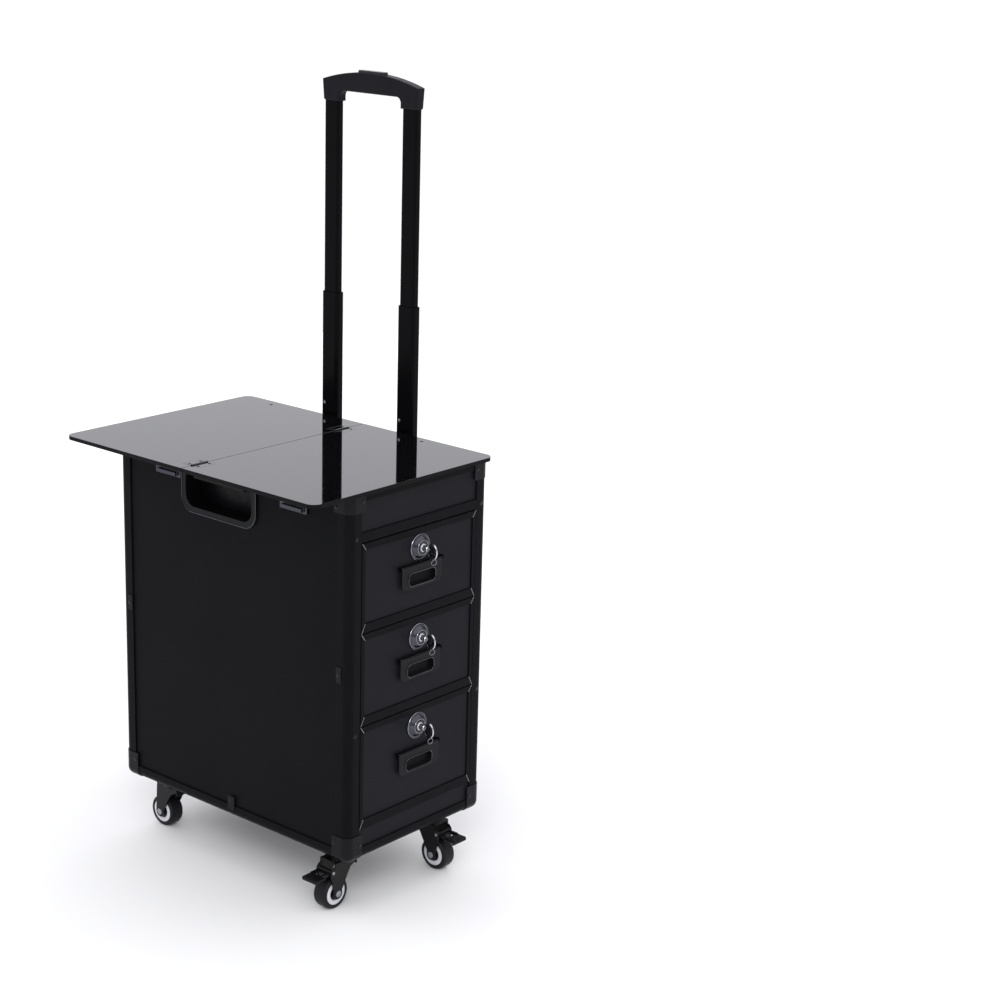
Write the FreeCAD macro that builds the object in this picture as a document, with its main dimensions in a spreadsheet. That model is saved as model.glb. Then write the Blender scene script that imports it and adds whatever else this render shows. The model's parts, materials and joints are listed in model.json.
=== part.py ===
"""Trolley manicure table: a wheeled case with three locking drawers, a folding
table top, a recessed carry handle and a telescopic pull handle.

Frame: millimetres, +Z up, -Y is the drawer side, -X is the carry-handle side,
the pull handle stands on the +X side.  The origin is on the floor, under the
centre of the bounding box.
"""
import FreeCAD, Part
import os
import re
import math
from FreeCAD import Placement, Rotation, Vector
from Sketcher import Constraint

doc = FreeCAD.newDocument("ManicureTable")

# ---------------------------------------------------------------- driving sizes
SIZES = [
    # the case
    ("case_x", 31.75), ("case_y", 7.25),             # centre of the case in plan
    ("case_width", 288), ("case_depth", 482),
    ("case_low", 94), ("case_high", 646),
    ("corner_round", 12), ("edge_round", 11.5), ("skin", 2.5), ("panel_thick", 5),
    ("post_arm", 24), ("cap_arm", 30), ("cap_tall", 40), ("cap_skin", 1.2),
    ("rail_tall", 15), ("foot_rail_tall", 19), ("rail_ledge", 14), ("ledge_thick", 3),
    ("fascia_low", 586.5), ("bay_high", 572), ("kick_high", 140),
    ("board_thick", 9), ("rivet_round", 3.2),
    # the drawers
    ("front_half", 119), ("front_deep", 9), ("frame_side", 7), ("frame_top", 9.5),
    ("frame_foot", 13.5), ("box_half", 112), ("box_wall", 6), ("box_floor", 4),
    ("box_back", 216), ("track_half", 6.2), ("runner_tall", 18),
    # locks and pulls
    ("dome_round", 20), ("dome_rise", 7.5), ("barrel_round", 9), ("plug_round", 6),
    ("plug_gap", 0.05), ("key_reach", 22), ("cam_reach", 33),
    ("pull_half", 42), ("pull_tall", 38), ("pull_thick", 3.5), ("pull_pin_out", 4.2),
    ("slot_half", 27), ("slot_tall", 19),
    # the table top
    ("table_left", 231), ("table_right", 137), ("table_half", 259), ("table_thick", 6),
    ("table_round", 15), ("seam", 3), ("seam_gap", 0.8), ("axis_lift", 0.3),
    ("hinge_left", -197), ("hinge_right", 88), ("hinge_half", 15), ("hinge_wide", 16),
    ("hinge_thick", 1.6), ("knuckle_round", 1.7), ("pin_round", 0.8), ("screw_round", 2.6),
    # the pull handle
    ("tube_x", 155), ("tube_y", 10), ("tube_pitch", 79), ("sleeve_low", 118), ("sleeve_high", 640),
    ("sleeve_x", 19.2), ("sleeve_y", 35.8), ("stage_x", 16.6), ("stage_y", 33.2),
    ("inner_x", 12.8), ("inner_y", 28.4), ("sleeve_wall", 1), ("stage_wall", 1.6),
    ("stage_low", 362), ("stage_high", 842), ("inner_low", 672), ("inner_high", 1134),
    ("grip_low", 1131), ("grip_under", 1147), ("grip_high", 1177), ("grip_half", 96),
    ("grip_deep", 18), ("button_half", 27), ("button_deep", 11), ("arch_round", 320),
    # the carry handle
    ("cup_y", 23), ("cup_z", 591), ("cup_long", 158), ("cup_tall", 76), ("cup_deep", 34),
    # the casters
    ("inset_x", 54), ("inset_y", 60), ("trail", 26), ("wheel_round", 25),
    ("wheel_wide", 24), ("fork_gap", 1.5), ("fork_thick", 2.5), ("axle_round", 3),
    ("head_low", 76), ("head_round", 21), ("kingpin_round", 5), ("tread_round", 6),
    ("pedal_z", 61), ("pivot_round", 1.5),
]
DRAWERS = [  # lowest and highest edge of the front, lock height, pull height
    (439, 570.5, 540.5, 502),
    (300, 437.5, 405.5, 364.5),
    (142, 298.5, 268.5, 219),
]
for row, (low, high, lock, pull) in enumerate(DRAWERS):
    letter = "abc"[row]
    SIZES += [("front_low_" + letter, low), ("front_high_" + letter, high),
              ("lock_" + letter, lock), ("pull_" + letter, pull)]

sheet = doc.addObject("Spreadsheet::Sheet", "Sizes")
for row, (alias, value) in enumerate(SIZES):
    sheet.set("A%d" % (row + 1), alias)
    sheet.set("B%d" % (row + 1), str(value))
    sheet.setAlias("B%d" % (row + 1), alias)
doc.recompute()
size = dict(SIZES)
ALIAS = re.compile(r"\b(" + "|".join(sorted(size, key=len, reverse=True)) + r")\b")


def bind(obj, prop, text):
    """Bind a property to a formula in the aliases of the sheet."""
    obj.setExpression(prop, ALIAS.sub(r"Sizes.\1", str(text)))


def at(obj, x, y, z, turn=None):
    """Turn an object, then bind its position; x and y count from the case centre."""
    if turn is not None:
        obj.Placement = Placement(Vector(), turn)
    bind(obj, "Placement.Base.x", "case_x + (%s)" % x)
    bind(obj, "Placement.Base.y", "case_y + (%s)" % y)
    bind(obj, "Placement.Base.z", z)
    return obj


ALONG = {"z": Rotation(), "x": Rotation(Vector(0, 1, 0), 90), "y": Rotation(Vector(1, 0, 0), -90),
         "-y": Rotation(Vector(1, 0, 0), 90), "-x": Rotation(Vector(0, 1, 0), -90)}
count = 0


def fresh(kind, stem):
    """Add a helper object with a running name."""
    global count
    count += 1
    return doc.addObject(kind, "%s_%d" % (stem, count))


def block(x, y, z):
    """A box between the pairs of formulas x, y and z."""
    box = fresh("Part::Box", "block")
    for prop, (low, high) in zip(("Length", "Width", "Height"), (x, y, z)):
        bind(box, prop, "(%s) - (%s)" % (high, low))
    return at(box, x[0], y[0], z[0])


def rod(radius, length, along, x, y, z):
    """A cylinder that starts at x, y, z and runs along an axis."""
    bar = fresh("Part::Cylinder", "rod")
    bind(bar, "Radius", radius)
    bind(bar, "Height", length)
    return at(bar, x, y, z, ALONG[along])


def dome(radius, rise, along, x, y, z):
    """A spherical cap of a base radius and a rise, standing on x, y, z."""
    cap = fresh("Part::Sphere", "dome")
    ball = "(({r})^2 + ({h})^2) / (2 * ({h}))".format(r=radius, h=rise)
    back = "%s - (%s)" % (ball, rise)
    bind(cap, "Radius", ball)
    bind(cap, "Angle1", "asin(1 - ({h}) / ({b}))".format(h=rise, b=ball))
    cap.Angle2 = 90
    shift = {"z": (0, 0, -1), "-y": (0, 1, 0), "y": (0, -1, 0),
             "x": (-1, 0, 0), "-x": (1, 0, 0)}[along]
    place = ["(%s) + %d * (%s)" % (start, step, back) for start, step in zip((x, y, z), shift)]
    return at(cap, place[0], place[1], place[2], ALONG[along])


def cut(base, *tools):
    """Take the tools away from the base."""
    result = fresh("Part::Cut", "cut")
    result.Base = base
    result.Tool = tools[0] if len(tools) == 1 else fuse(*tools)
    return result


def fuse(*pieces):
    """Join pieces that touch or overlap into one solid."""
    result = fresh("Part::MultiFuse", "fuse")
    result.Shapes = list(pieces)
    return result


def common(base, tool):
    """Keep what two shapes share."""
    result = fresh("Part::Common", "common")
    result.Base = base
    result.Tool = tool
    return result


def group(*solids):
    """Separate solids that share one node."""
    result = fresh("Part::Compound", "group")
    result.Links = list(solids)
    return result


def worked_out(text):
    """The present value of a formula, worked out by a spare cell of the sheet."""
    sheet.set("D1", "=" + str(text))
    sheet.recompute()
    return float(sheet.get("D1"))


def rounded_rectangle(sketch, wide, tall, radius):
    """A closed rectangle with round corners, centred on the sketch origin."""
    r = worked_out(radius)
    w, t = worked_out(wide) / 2 - r, worked_out(tall) / 2 - r
    for step, (x, y) in enumerate(((w, t), (-w, t), (-w, -t), (w, -t))):
        start = step * math.pi / 2
        arc = Part.Arc(Part.Circle(Vector(x, y, 0), Vector(0, 0, 1), r), start, start + math.pi / 2)
        sketch.addGeometry(arc, False)
    for (ax, ay), (bx, by) in (((w, t + r), (-w, t + r)), ((-w - r, t), (-w - r, -t)),
                               ((-w, -t - r), (w, -t - r)), ((w + r, -t), (w + r, t))):
        sketch.addGeometry(Part.LineSegment(Vector(ax, ay, 0), Vector(bx, by, 0)), False)
    for step in range(4):
        sketch.addConstraint(Constraint("Tangent", step, 2, 4 + step, 1))
        sketch.addConstraint(Constraint("Tangent", 4 + step, 2, (step + 1) % 4, 1))
    for step in range(3):
        sketch.addConstraint(Constraint("Equal", step, step + 1))
    sketch.addConstraint(Constraint("Horizontal", 4))
    sketch.addConstraint(Constraint("Vertical", 5))
    sketch.addConstraint(Constraint("Symmetric", 0, 3, 2, 3, -1, 1))
    index = sketch.addConstraint(Constraint("Radius", 0, r))
    bind(sketch, "Constraints[%d]" % index, radius)
    index = sketch.addConstraint(Constraint("DistanceX", 1, 3, 0, 3, 2 * w))
    bind(sketch, "Constraints[%d]" % index, "(%s) - 2 * (%s)" % (wide, radius))
    index = sketch.addConstraint(Constraint("DistanceY", 3, 3, 0, 3, 2 * t))
    bind(sketch, "Constraints[%d]" % index, "(%s) - 2 * (%s)" % (tall, radius))


def slab(plane, wide, tall, radius, thick, x, y, z):
    """A PartDesign plate with round corners, padded from a plane through x, y, z."""
    body = fresh("PartDesign::Body", "slab")
    sketch = body.newObject("Sketcher::SketchObject", body.Name + "_outline")
    for feature in body.Origin.OriginFeatures:
        if feature.Role == plane + "_Plane":
            sketch.AttachmentSupport = [(feature, "")]
    sketch.MapMode = "FlatFace"
    rounded_rectangle(sketch, wide, tall, radius)
    pad = body.newObject("PartDesign::Pad", body.Name + "_pad")
    pad.Profile = sketch
    bind(pad, "Length", thick)
    body.Tip = pad
    return at(body, x, y, z)


nodes = []


def name(label, obj):
    """Give a finished sub-part the label that names its file."""
    obj.Label = label
    nodes.append(obj)
    return obj


HALF_X = "case_width / 2"
HALF_Y = "case_depth / 2"


def mirrored(x, sign):
    """A low/high pair of formulas, mirrored for the negative side."""
    if sign > 0:
        return x
    return ("-(%s)" % x[1], "-(%s)" % x[0])


# ------------------------------------------------------------------- case frame
def rounded_box(inset, low, high):
    """The outline of the case, inset all round, with round upright corners and round lower edges."""
    outline = slab("XY", "case_width - 2 * (%s)" % inset, "case_depth - 2 * (%s)" % inset,
                   "corner_round - (%s)" % inset, "(%s) - (%s)" % (high, low), 0, 0, low)
    doc.recompute()
    floor = outline.Shape.BoundBox.ZMin + 0.01
    rims = [step + 1 for step, edge in enumerate(outline.Shape.Edges)
            if edge.CenterOfMass.z < floor]
    rounded = fresh("Part::Fillet", "shell")
    rounded.Base = outline
    radius = worked_out("edge_round - (%s)" % inset)
    rounded.Edges = [(rim, radius, radius) for rim in rims]
    return rounded


def case_shell():
    """The skin of the whole case, closed below and above by ledges that the rails share."""
    inner = rounded_box("skin", "case_low + ledge_thick", "case_high - ledge_thick")
    return cut(rounded_box("0", "case_low", "case_high"), inner)


def corner_blocks(arm, low, high, over="2"):
    """Four blocks that reach an arm's length in from the corners."""
    blocks = []
    for sx in (-1, 1):
        for sy in (-1, 1):
            x = mirrored(("%s - %s" % (HALF_X, arm), "%s + %s" % (HALF_X, over)), sx)
            y = mirrored(("%s - %s" % (HALF_Y, arm), "%s + %s" % (HALF_Y, over)), sy)
            blocks.append(block(x, y, (low, high)))
    return group(*blocks)


def corner_posts():
    """Rounded angle profiles, one up each corner of the case."""
    return common(case_shell(), corner_blocks("post_arm", "case_low", "case_high"))


def edge_rails():
    """Angle profiles along the top and bottom edges, and the front cross rail."""
    rails = []
    arm = "skin + rail_ledge"
    for low, high in (("case_high - rail_tall", "case_high"),
                      ("case_low", "case_low + foot_rail_tall")):
        for s in (-1, 1):
            side_run = ("-(%s) + post_arm" % HALF_Y, "%s - post_arm" % HALF_Y)
            side = mirrored(("%s - (%s)" % (HALF_X, arm), "%s + 1" % HALF_X), s)
            rails.append(common(case_shell(), block(side, side_run, (low, high))))
            end_run = ("-(%s) + post_arm" % HALF_X, "%s - post_arm" % HALF_X)
            end = mirrored(("%s - (%s)" % (HALF_Y, arm), "%s + 1" % HALF_Y), s)
            rails.append(common(case_shell(), block(end_run, end, (low, high))))
    cross_y = ("-(%s)" % HALF_Y, "-(%s) + skin" % HALF_Y)
    cross_x = ("-(%s) + post_arm" % HALF_X, "%s - post_arm" % HALF_X)
    rails.append(block(cross_x, cross_y, ("bay_high", "fascia_low")))
    return group(*rails)


def corner_caps():
    """Stamped caps over the corners of the case: rounded cups below, bent angles above."""
    cups = common(cut(rounded_box("-cap_skin", "case_low - cap_skin", "case_low + cap_tall"),
                      rounded_box("0", "case_low", "case_low + cap_tall + 5")),
                  corner_blocks("cap_arm", "case_low - 5", "case_low + cap_tall", "5"))
    top = "case_high - cap_tall + 10"
    bends = common(cut(slab("XY", "case_width + 2 * cap_skin", "case_depth + 2 * cap_skin",
                            "corner_round + cap_skin", "case_high - (%s)" % top, 0, 0, top),
                       slab("XY", "case_width", "case_depth", "corner_round", "cap_tall + 9",
                            0, 0, "%s - 1" % top)),
                   corner_blocks("cap_arm", top, "case_high", "5"))
    return group(cups, bends)


def joint_clips():
    """Small plates that bridge the joints of the profiles, each with its rivet."""
    clips = []
    for s in (-1, 1):
        x = mirrored((HALF_X, "%s + 1" % HALF_X), s)
        clips.append(block(x, ("-7", "7"), ("case_low + corner_round", "case_low + 34")))
        for sy in (-1, 1):
            y = mirrored(("%s - 24" % HALF_Y, "%s - 8 - corner_round / 2" % HALF_Y), sy)
            clips.append(block(x, y, ("368", "392")))
    return group(*clips)


def panel_rivets():
    """Domed rivet heads on the profiles, caps and clips."""
    heads = []
    for s in (-1, 1):
        side, out = "%d * (%s + cap_skin)" % (s, HALF_X), "x" if s > 0 else "-x"
        clip = "%d * (%s + 1)" % (s, HALF_X)
        for sy in (-1, 1):
            near = "%d * (%s - cap_arm + 5)" % (sy, HALF_Y)
            heads.append(dome("rivet_round", "1.3", out, side, near, "case_low + 29"))
            heads.append(dome("rivet_round", "1.3", out, side, near, "case_high - 22"))
            heads.append(dome("rivet_round", "1.3", out, clip, "%d * (%s - 19)" % (sy, HALF_Y), "380"))
        heads.append(dome("rivet_round", "1.3", out, clip, "0", "case_low + 28"))
        face, out = "%d * (%s + cap_skin)" % (s, HALF_Y), "y" if s > 0 else "-y"
        for sx in (-1, 1):
            near = "%d * (%s - cap_arm + 5)" % (sx, HALF_X)
            heads.append(dome("rivet_round", "1.3", out, near, face, "case_low + 24"))
            heads.append(dome("rivet_round", "1.3", out, near, face, "case_high - 14"))
    for sx in (-1, 1):
        for height in ("579", "case_low + 195"):
            heads.append(dome("rivet_round", "1.3", "-y", "%d * (%s - post_arm / 2 - 2)" % (sx, HALF_X),
                              "-(%s)" % HALF_Y, height))
    return group(*heads)


PANEL_X = ("%s - skin - panel_thick" % HALF_X, "%s - skin" % HALF_X)
PANEL_Y = ("%s - skin - panel_thick" % HALF_Y, "%s - skin" % HALF_Y)
SIDE_RUN = ("-(%s) + corner_round" % HALF_Y, "%s - corner_round" % HALF_Y)
ACROSS = ("-(%s) + corner_round" % HALF_X, "%s - corner_round" % HALF_X)
BETWEEN = ("-(%s) + skin + panel_thick" % HALF_X, "%s - skin - panel_thick" % HALF_X)
WALL_Z = ("case_low + corner_round + 1", "case_high - ledge_thick")
CUP_FACE = "-(%s) + skin" % HALF_X
FRONT = "-(%s)" % HALF_Y

name("corner_posts", corner_posts())
name("edge_rails", edge_rails())
name("corner_caps", corner_caps())
name("joint_clips_and_rivets", group(joint_clips(), panel_rivets()))

cup_opening = slab("YZ", "cup_long - 16", "cup_tall - 16", "20", "panel_thick + 4",
                   "-(%s)" % HALF_X, "cup_y", "cup_z")
name("left_side_panel", cut(block(mirrored(PANEL_X, -1), SIDE_RUN, WALL_Z), cup_opening))
name("right_side_panel", block(PANEL_X, SIDE_RUN, WALL_Z))
name("back_panel", block(ACROSS, PANEL_Y, WALL_Z))
name("top_fascia_panel", block(ACROSS, mirrored(PANEL_Y, -1), ("bay_high + 4", "case_high - ledge_thick")))
name("kick_panel", block(ACROSS, mirrored(PANEL_Y, -1), (WALL_Z[0], "kick_high")))
INNER_RUN = ("-(%s) + skin + panel_thick" % HALF_Y, "%s - skin - panel_thick" % HALF_Y)
name("base_board", block(ACROSS, SIDE_RUN, ("case_low + ledge_thick",
                                              "case_low + ledge_thick + board_thick")))
name("top_deck", block(BETWEEN, INNER_RUN, ("case_high - ledge_thick - board_thick",
                                            "case_high - ledge_thick")))
lock_bars = [block(BETWEEN, ("%s + 15" % FRONT, "%s + 21" % FRONT),
                   ("front_low_%s - 11" % upper, "front_low_%s + 1" % upper)) for upper in "ab"]
name("drawer_cross_rails", group(*lock_bars))


# ---------------------------------------------------------------- carry handle
def carry_cup():
    """A pressed pan with a raised rim and a finger lip along its upper edge."""
    rim = slab("YZ", "cup_long", "cup_tall", "24", "3", "-(%s) - 0.5" % HALF_X, "cup_y", "cup_z")
    pan = slab("YZ", "cup_long - 16", "cup_tall - 16", "20", "cup_deep",
               "-(%s) + 0.5" % HALF_X, "cup_y", "cup_z")
    well = slab("YZ", "cup_long - 19", "cup_tall - 19", "18.5", "cup_deep + 2",
                "-(%s) - 3" % HALF_X, "cup_y", "cup_z")
    hollow = cut(fuse(rim, pan), well)
    lip = block(("-(%s) + 0.5" % HALF_X, "-(%s) + 12" % HALF_X),
                ("cup_y - cup_long / 2 + 26", "cup_y + cup_long / 2 - 26"),
                ("cup_z + cup_tall / 2 - 23", "cup_z + cup_tall / 2 - 8.5"))
    return fuse(hollow, lip)


def lid_catches():
    """Keeper plates with hooked noses, two on each long side."""
    plates = []
    for s in (-1, 1):
        for y in (-131, 131):
            x = mirrored(("%s - skin" % HALF_X, "%s + 0.5" % HALF_X), s)
            nose = mirrored(("%s + 0.5" % HALF_X, "%s + 5" % HALF_X), s)
            plate = block(x, (y - 27, y + 27), ("case_high - 46", "case_high - 16"))
            hook = block(nose, (y - 20, y + 20), ("case_high - 44", "case_high - 38"))
            plates.append(fuse(plate, hook))
    return group(*plates)


name("carry_handle_cup", carry_cup())
name("lid_catches", lid_catches())


# --------------------------------------------------------------------- drawers
def runner_tracks():
    """C-shaped tracks on packing blocks, one on each side of every drawer."""
    tracks = []
    depth = "track_half + 1.5"
    for letter in "abc":
        mid = "(front_low_%s + front_high_%s) / 2" % (letter, letter)
        low, high = "%s - runner_tall / 2 - 3" % mid, "%s + runner_tall / 2 + 3" % mid
        for s in (-1, 1):
            run = ("%s + 22" % FRONT, "box_back")
            channel = block(mirrored(("box_half + 1", "box_half + %s + 2" % depth), s), run, (low, high))
            packing = [block(mirrored(("box_half + %s + 1" % depth, BETWEEN[1]), s), y, (low, high))
                       for y in (("%s + 22" % FRONT, "%s + 62" % FRONT), ("box_back - 40", "box_back"))]
            groove = block(mirrored(("box_half", "box_half + %s" % depth), s),
                           ("%s + 21" % FRONT, "box_back + 1"), ("%s + 2.4" % low, "%s - 2.4" % high))
            tracks.append(cut(fuse(channel, *packing), groove))
    return group(*tracks)


name("drawer_runner_tracks", runner_tracks())


def drawer(letter, title):
    """One drawer: tray, framed front, runners, lock, key, pull bracket and pull."""
    low, high = "front_low_" + letter, "front_high_" + letter
    lock, pull = "lock_" + letter, "pull_" + letter
    across = ("-front_half", "front_half")
    inner = ("-(front_half - frame_side)", "front_half - frame_side")
    deep = ("%s - 0.5" % FRONT, "%s + front_deep" % FRONT)
    frame = cut(block(across, deep, (low, high)),
                block(inner, ("%s - 2" % FRONT, "%s + front_deep + 2" % FRONT),
                      ("%s + frame_foot" % low, "%s - frame_top" % high)))
    name(title + "_front_frame", frame)
    face, back = "%s + 1.5" % FRONT, "%s + front_deep" % FRONT
    barrel_hole = rod("barrel_round", "30", "y", 0, "%s - 2" % FRONT, lock)
    name(title + "_front_panel", cut(block(inner, (face, back), ("%s + frame_foot" % low,
                                                                "%s - frame_top" % high)), barrel_hole))
    tray_low, tray_high = "%s + 6" % low, "%s - 22" % high
    boards = [block(mirrored(("box_half - box_wall", "box_half"), s), (back, "box_back"),
                    (tray_low, tray_high)) for s in (-1, 1)]
    inside = ("-box_half + box_wall", "box_half - box_wall")
    boards.append(cut(block(inside, (back, "%s + box_wall" % back), (tray_low, tray_high)), barrel_hole))
    boards.append(block(inside, ("box_back - box_wall", "box_back"), (tray_low, tray_high)))
    boards.append(block(inside, ("%s + box_wall" % back, "box_back - box_wall"),
                        (tray_low, "%s + box_floor" % tray_low)))
    name(title + "_tray", group(*boards))
    mid = "(%s + %s) / 2" % (low, high)
    bars = [block(mirrored(("box_half", "box_half + track_half"), s), ("%s + 24" % FRONT, "box_back - 2"),
                  ("%s - runner_tall / 2" % mid, "%s + runner_tall / 2" % mid)) for s in (-1, 1)]
    name(title + "_runners", group(*bars))
    bore = rod("plug_round + plug_gap", "60", "y", 0, "%s - 12" % FRONT, lock)
    barrel = rod("barrel_round", "front_deep + box_wall + 5.5", "y", 0, face, lock)
    name(title + "_lock", cut(fuse(dome("dome_round", "dome_rise", "-y", 0, face, lock), barrel), bore))
    plug_start = "%s + 1.5 - dome_rise - 0.5" % FRONT
    plug = rod("plug_round", "front_deep + box_wall + dome_rise + 7", "y", 0, plug_start, lock)
    stem = rod("4.4", "key_reach - 13", "-y", 0, plug_start, lock)
    bow_low = "%s - 4" % lock
    bow = rod("10", "2.6", "x", "-1.3", "%s - key_reach + 6" % plug_start, bow_low)
    eye = rod("2.2", "6", "x", "-3", "%s - key_reach + 1" % plug_start, "%s - 5" % bow_low)
    cam_y = "%s + front_deep + box_wall" % FRONT
    cam = block(("-7", "cam_reach"), ("%s + 8" % cam_y, "%s + 10" % cam_y),
                ("%s - 6" % lock, "%s + 6" % lock))
    name(title + "_key", fuse(plug, stem, cut(bow, eye), cam))
    pin_y, pin_z = "%s - pull_pin_out" % FRONT, "%s + pull_tall / 2 - 4" % pull
    bracket = [block(("-pull_half - 4", "pull_half + 4"), ("%s - 0.5" % FRONT, face),
                     ("%s - 6" % pin_z, "%s + 3" % pin_z)),
               rod("1.5", "2 * pull_half + 8", "x", "-(pull_half + 4)", pin_y, pin_z)]
    for s in (-1, 1):
        ear = mirrored(("pull_half + 0.6", "pull_half + 4"), s)
        bracket.append(block(ear, ("%s - 3" % pin_y, "%s + 0.5" % FRONT), ("%s - 4.5" % pin_z,
                                                                         "%s + 4.5" % pin_z)))
    name(title + "_pull_bracket", fuse(*bracket))
    plate = slab("XZ", "2 * pull_half", "pull_tall", "9", "pull_thick", 0,
                 "%s + pull_thick / 2" % pin_y, pull)
    top = block(("-pull_half", "pull_half"), ("%s - pull_thick / 2" % pin_y, "%s + pull_thick / 2" % pin_y),
                ("%s + pull_tall / 2 - 12" % pull, "%s + pull_tall / 2 - 2.2" % pull))
    slot = slab("XZ", "2 * slot_half", "slot_tall", "5", "pull_thick + 4", 0,
                "%s + pull_thick / 2 + 2" % pin_y, "%s - 5" % pull)
    pin_hole = rod("1.55", "2 * pull_half + 4", "x", "-(pull_half + 2)", pin_y, pin_z)
    trim = block(("-pull_half - 1", "pull_half + 1"), ("%s - 5" % pin_y, "%s + 5" % pin_y),
                 ("%s + pull_tall / 2 - 2.2" % pull, "%s + pull_tall / 2 + 1" % pull))
    name(title + "_pull", cut(fuse(plate, top), slot, pin_hole, trim))


for letter, title in zip("abc", ("drawer_1", "drawer_2", "drawer_3")):
    drawer(letter, title)

# ------------------------------------------------------------------- table top
TOP = "case_high + table_thick"
AXIS_Z = "case_high + table_thick + axis_lift"
board = slab("XY", "table_left + table_right", "2 * table_half", "table_round", "table_thick",
             "(table_right - table_left) / 2", 0, "case_high")
BOARD_X = ("-table_left - 1", "table_right + 1")
HINGES = ("hinge_left", "hinge_right")


SCREWS = {-1: ("122", "-129"), 1: ("118", "187")}


def leaf(sign):
    """One half of the board with the recesses for its hinge plates and its screw."""
    run = mirrored(("seam_gap / 2 + %d * seam" % sign, "table_half + 1"), sign)
    half = common(board, block(BOARD_X, run, ("case_high - 1", "%s + 1" % TOP)))
    recesses = [rod("screw_round", "5", "z", *SCREWS[sign], "%s - 1.2" % TOP)]
    for middle in HINGES:
        reach = ("seam", "seam + hinge_wide + 0.2") if sign > 0 else ("seam - hinge_wide - 0.2", "seam")
        recesses.append(block(("%s - hinge_half - 0.2" % middle, "%s + hinge_half + 0.2" % middle), reach,
                              ("%s - hinge_thick" % TOP, "%s + 1" % TOP)))
        recesses.append(block(("%s - hinge_half - 0.2" % middle, "%s + hinge_half + 0.2" % middle),
                              ("seam - knuckle_round - 0.7", "seam + knuckle_round + 0.7"),
                              ("%s - 3" % TOP, "%s + 1" % TOP)))
    return cut(half, *recesses)


def hinge_plates(sign):
    """Flush plates with their knuckles on one side of the seam, and the screw heads."""
    solids = []
    for middle in HINGES:
        reach = ("seam + 0.3", "seam + hinge_wide") if sign > 0 else ("seam - hinge_wide", "seam - 0.3")
        plate = block(("%s - hinge_half" % middle, "%s + hinge_half" % middle), reach,
                      ("%s - hinge_thick" % TOP, TOP))
        gap = [("-6.2", "6.2")] if sign > 0 else [("-16", "-5.8"), ("5.8", "16")]
        relief = [block(("%s + %s" % (middle, a), "%s + %s" % (middle, b)),
                        ("seam - knuckle_round - 0.5", "seam + knuckle_round + 0.5"),
                        ("%s - 3" % TOP, "%s + 1" % TOP)) for a, b in gap]
        spans = [("-hinge_half", "-6"), ("6", "hinge_half")] if sign > 0 else [("-5.9", "5.9")]
        knuckles = [rod("knuckle_round", "(%s) - (%s)" % (b, a), "x", "%s + %s" % (middle, a), "seam",
                        AXIS_Z) for a, b in spans]
        if sign > 0:
            bore = rod("pin_round + 0.05", "2 * hinge_half + 2", "x", "%s - hinge_half - 1" % middle,
                       "seam", AXIS_Z)
            solids.append(cut(fuse(cut(plate, *relief), *knuckles), bore))
        else:
            pin = rod("pin_round", "2 * hinge_half", "x", "%s - hinge_half" % middle, "seam", AXIS_Z)
            solids.append(fuse(cut(plate, *relief), *knuckles, pin))
    screw = rod("screw_round", "1.2", "z", *SCREWS[sign], "%s - 1.2" % TOP)
    return group(*solids, screw)


name("table_fixed_leaf", leaf(-1))
name("table_folding_leaf", leaf(1))
name("fixed_hinge_plates", hinge_plates(-1))
name("moving_hinge_plates", hinge_plates(1))


# ----------------------------------------------------------------- pull handle
def tube_pair(wide, deep, radius, low, high, wall):
    """Two upright tubes of rounded section, side by side along Y."""
    tubes = []
    for s in (-1, 1):
        y = "tube_y + %d * tube_pitch" % s
        outer = slab("XY", wide, deep, radius, "(%s) - (%s)" % (high, low), "tube_x", y, low)
        inner = slab("XY", "%s - 2 * %s" % (wide, wall), "%s - 2 * %s" % (deep, wall),
                     "%s - %s" % (radius, wall), "(%s) - (%s) + 2" % (high, low), "tube_x", y,
                     "(%s) - 1" % low)
        tubes.append(cut(outer, inner))
    return group(*tubes)


name("outer_handle_tubes", tube_pair("sleeve_x", "sleeve_y", "6.5", "sleeve_low", "sleeve_high",
                                    "sleeve_wall"))
name("middle_handle_tubes", tube_pair("stage_x", "stage_y", "5.3", "stage_low", "stage_high",
                                     "stage_wall"))
name("inner_handle_tubes", tube_pair("inner_x", "inner_y", "3.6", "inner_low", "inner_high",
                                    "stage_wall"))


def tube_brackets():
    """Straps that hold both outer tubes against the right side of the case."""
    straps = []
    seat, hump = "%s - skin" % HALF_X, "tube_x + sleeve_x / 2 + 2.9"
    collar = "sleeve_y / 2 + 3"
    for low in ("sleeve_low + 16", "sleeve_high - 72"):
        z, over = (low, "%s + 26" % low), ("%s - 1" % low, "%s + 27" % low)
        plate = block((seat, hump), ("tube_y - tube_pitch - %s - 6" % collar,
                                     "tube_y + tube_pitch + %s + 6" % collar), z)
        open_x = ("%s + 3" % seat, "%s + 10" % hump)
        waste = [block(open_x, y, over)
                 for y in (("tube_y - tube_pitch + %s" % collar, "tube_y + tube_pitch - (%s)" % collar),
                           ("tube_y + tube_pitch + %s" % collar, "tube_y + tube_pitch + 60"),
                           ("tube_y - tube_pitch - 60", "tube_y - tube_pitch - (%s)" % collar))]
        holes = [slab("XY", "sleeve_x", "sleeve_y", "6.5", "30", "tube_x", "tube_y + %d * tube_pitch" % s,
                      "%s - 2" % low) for s in (-1, 1)]
        straps.append(cut(plate, *waste, *holes))
    return group(*straps)


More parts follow.
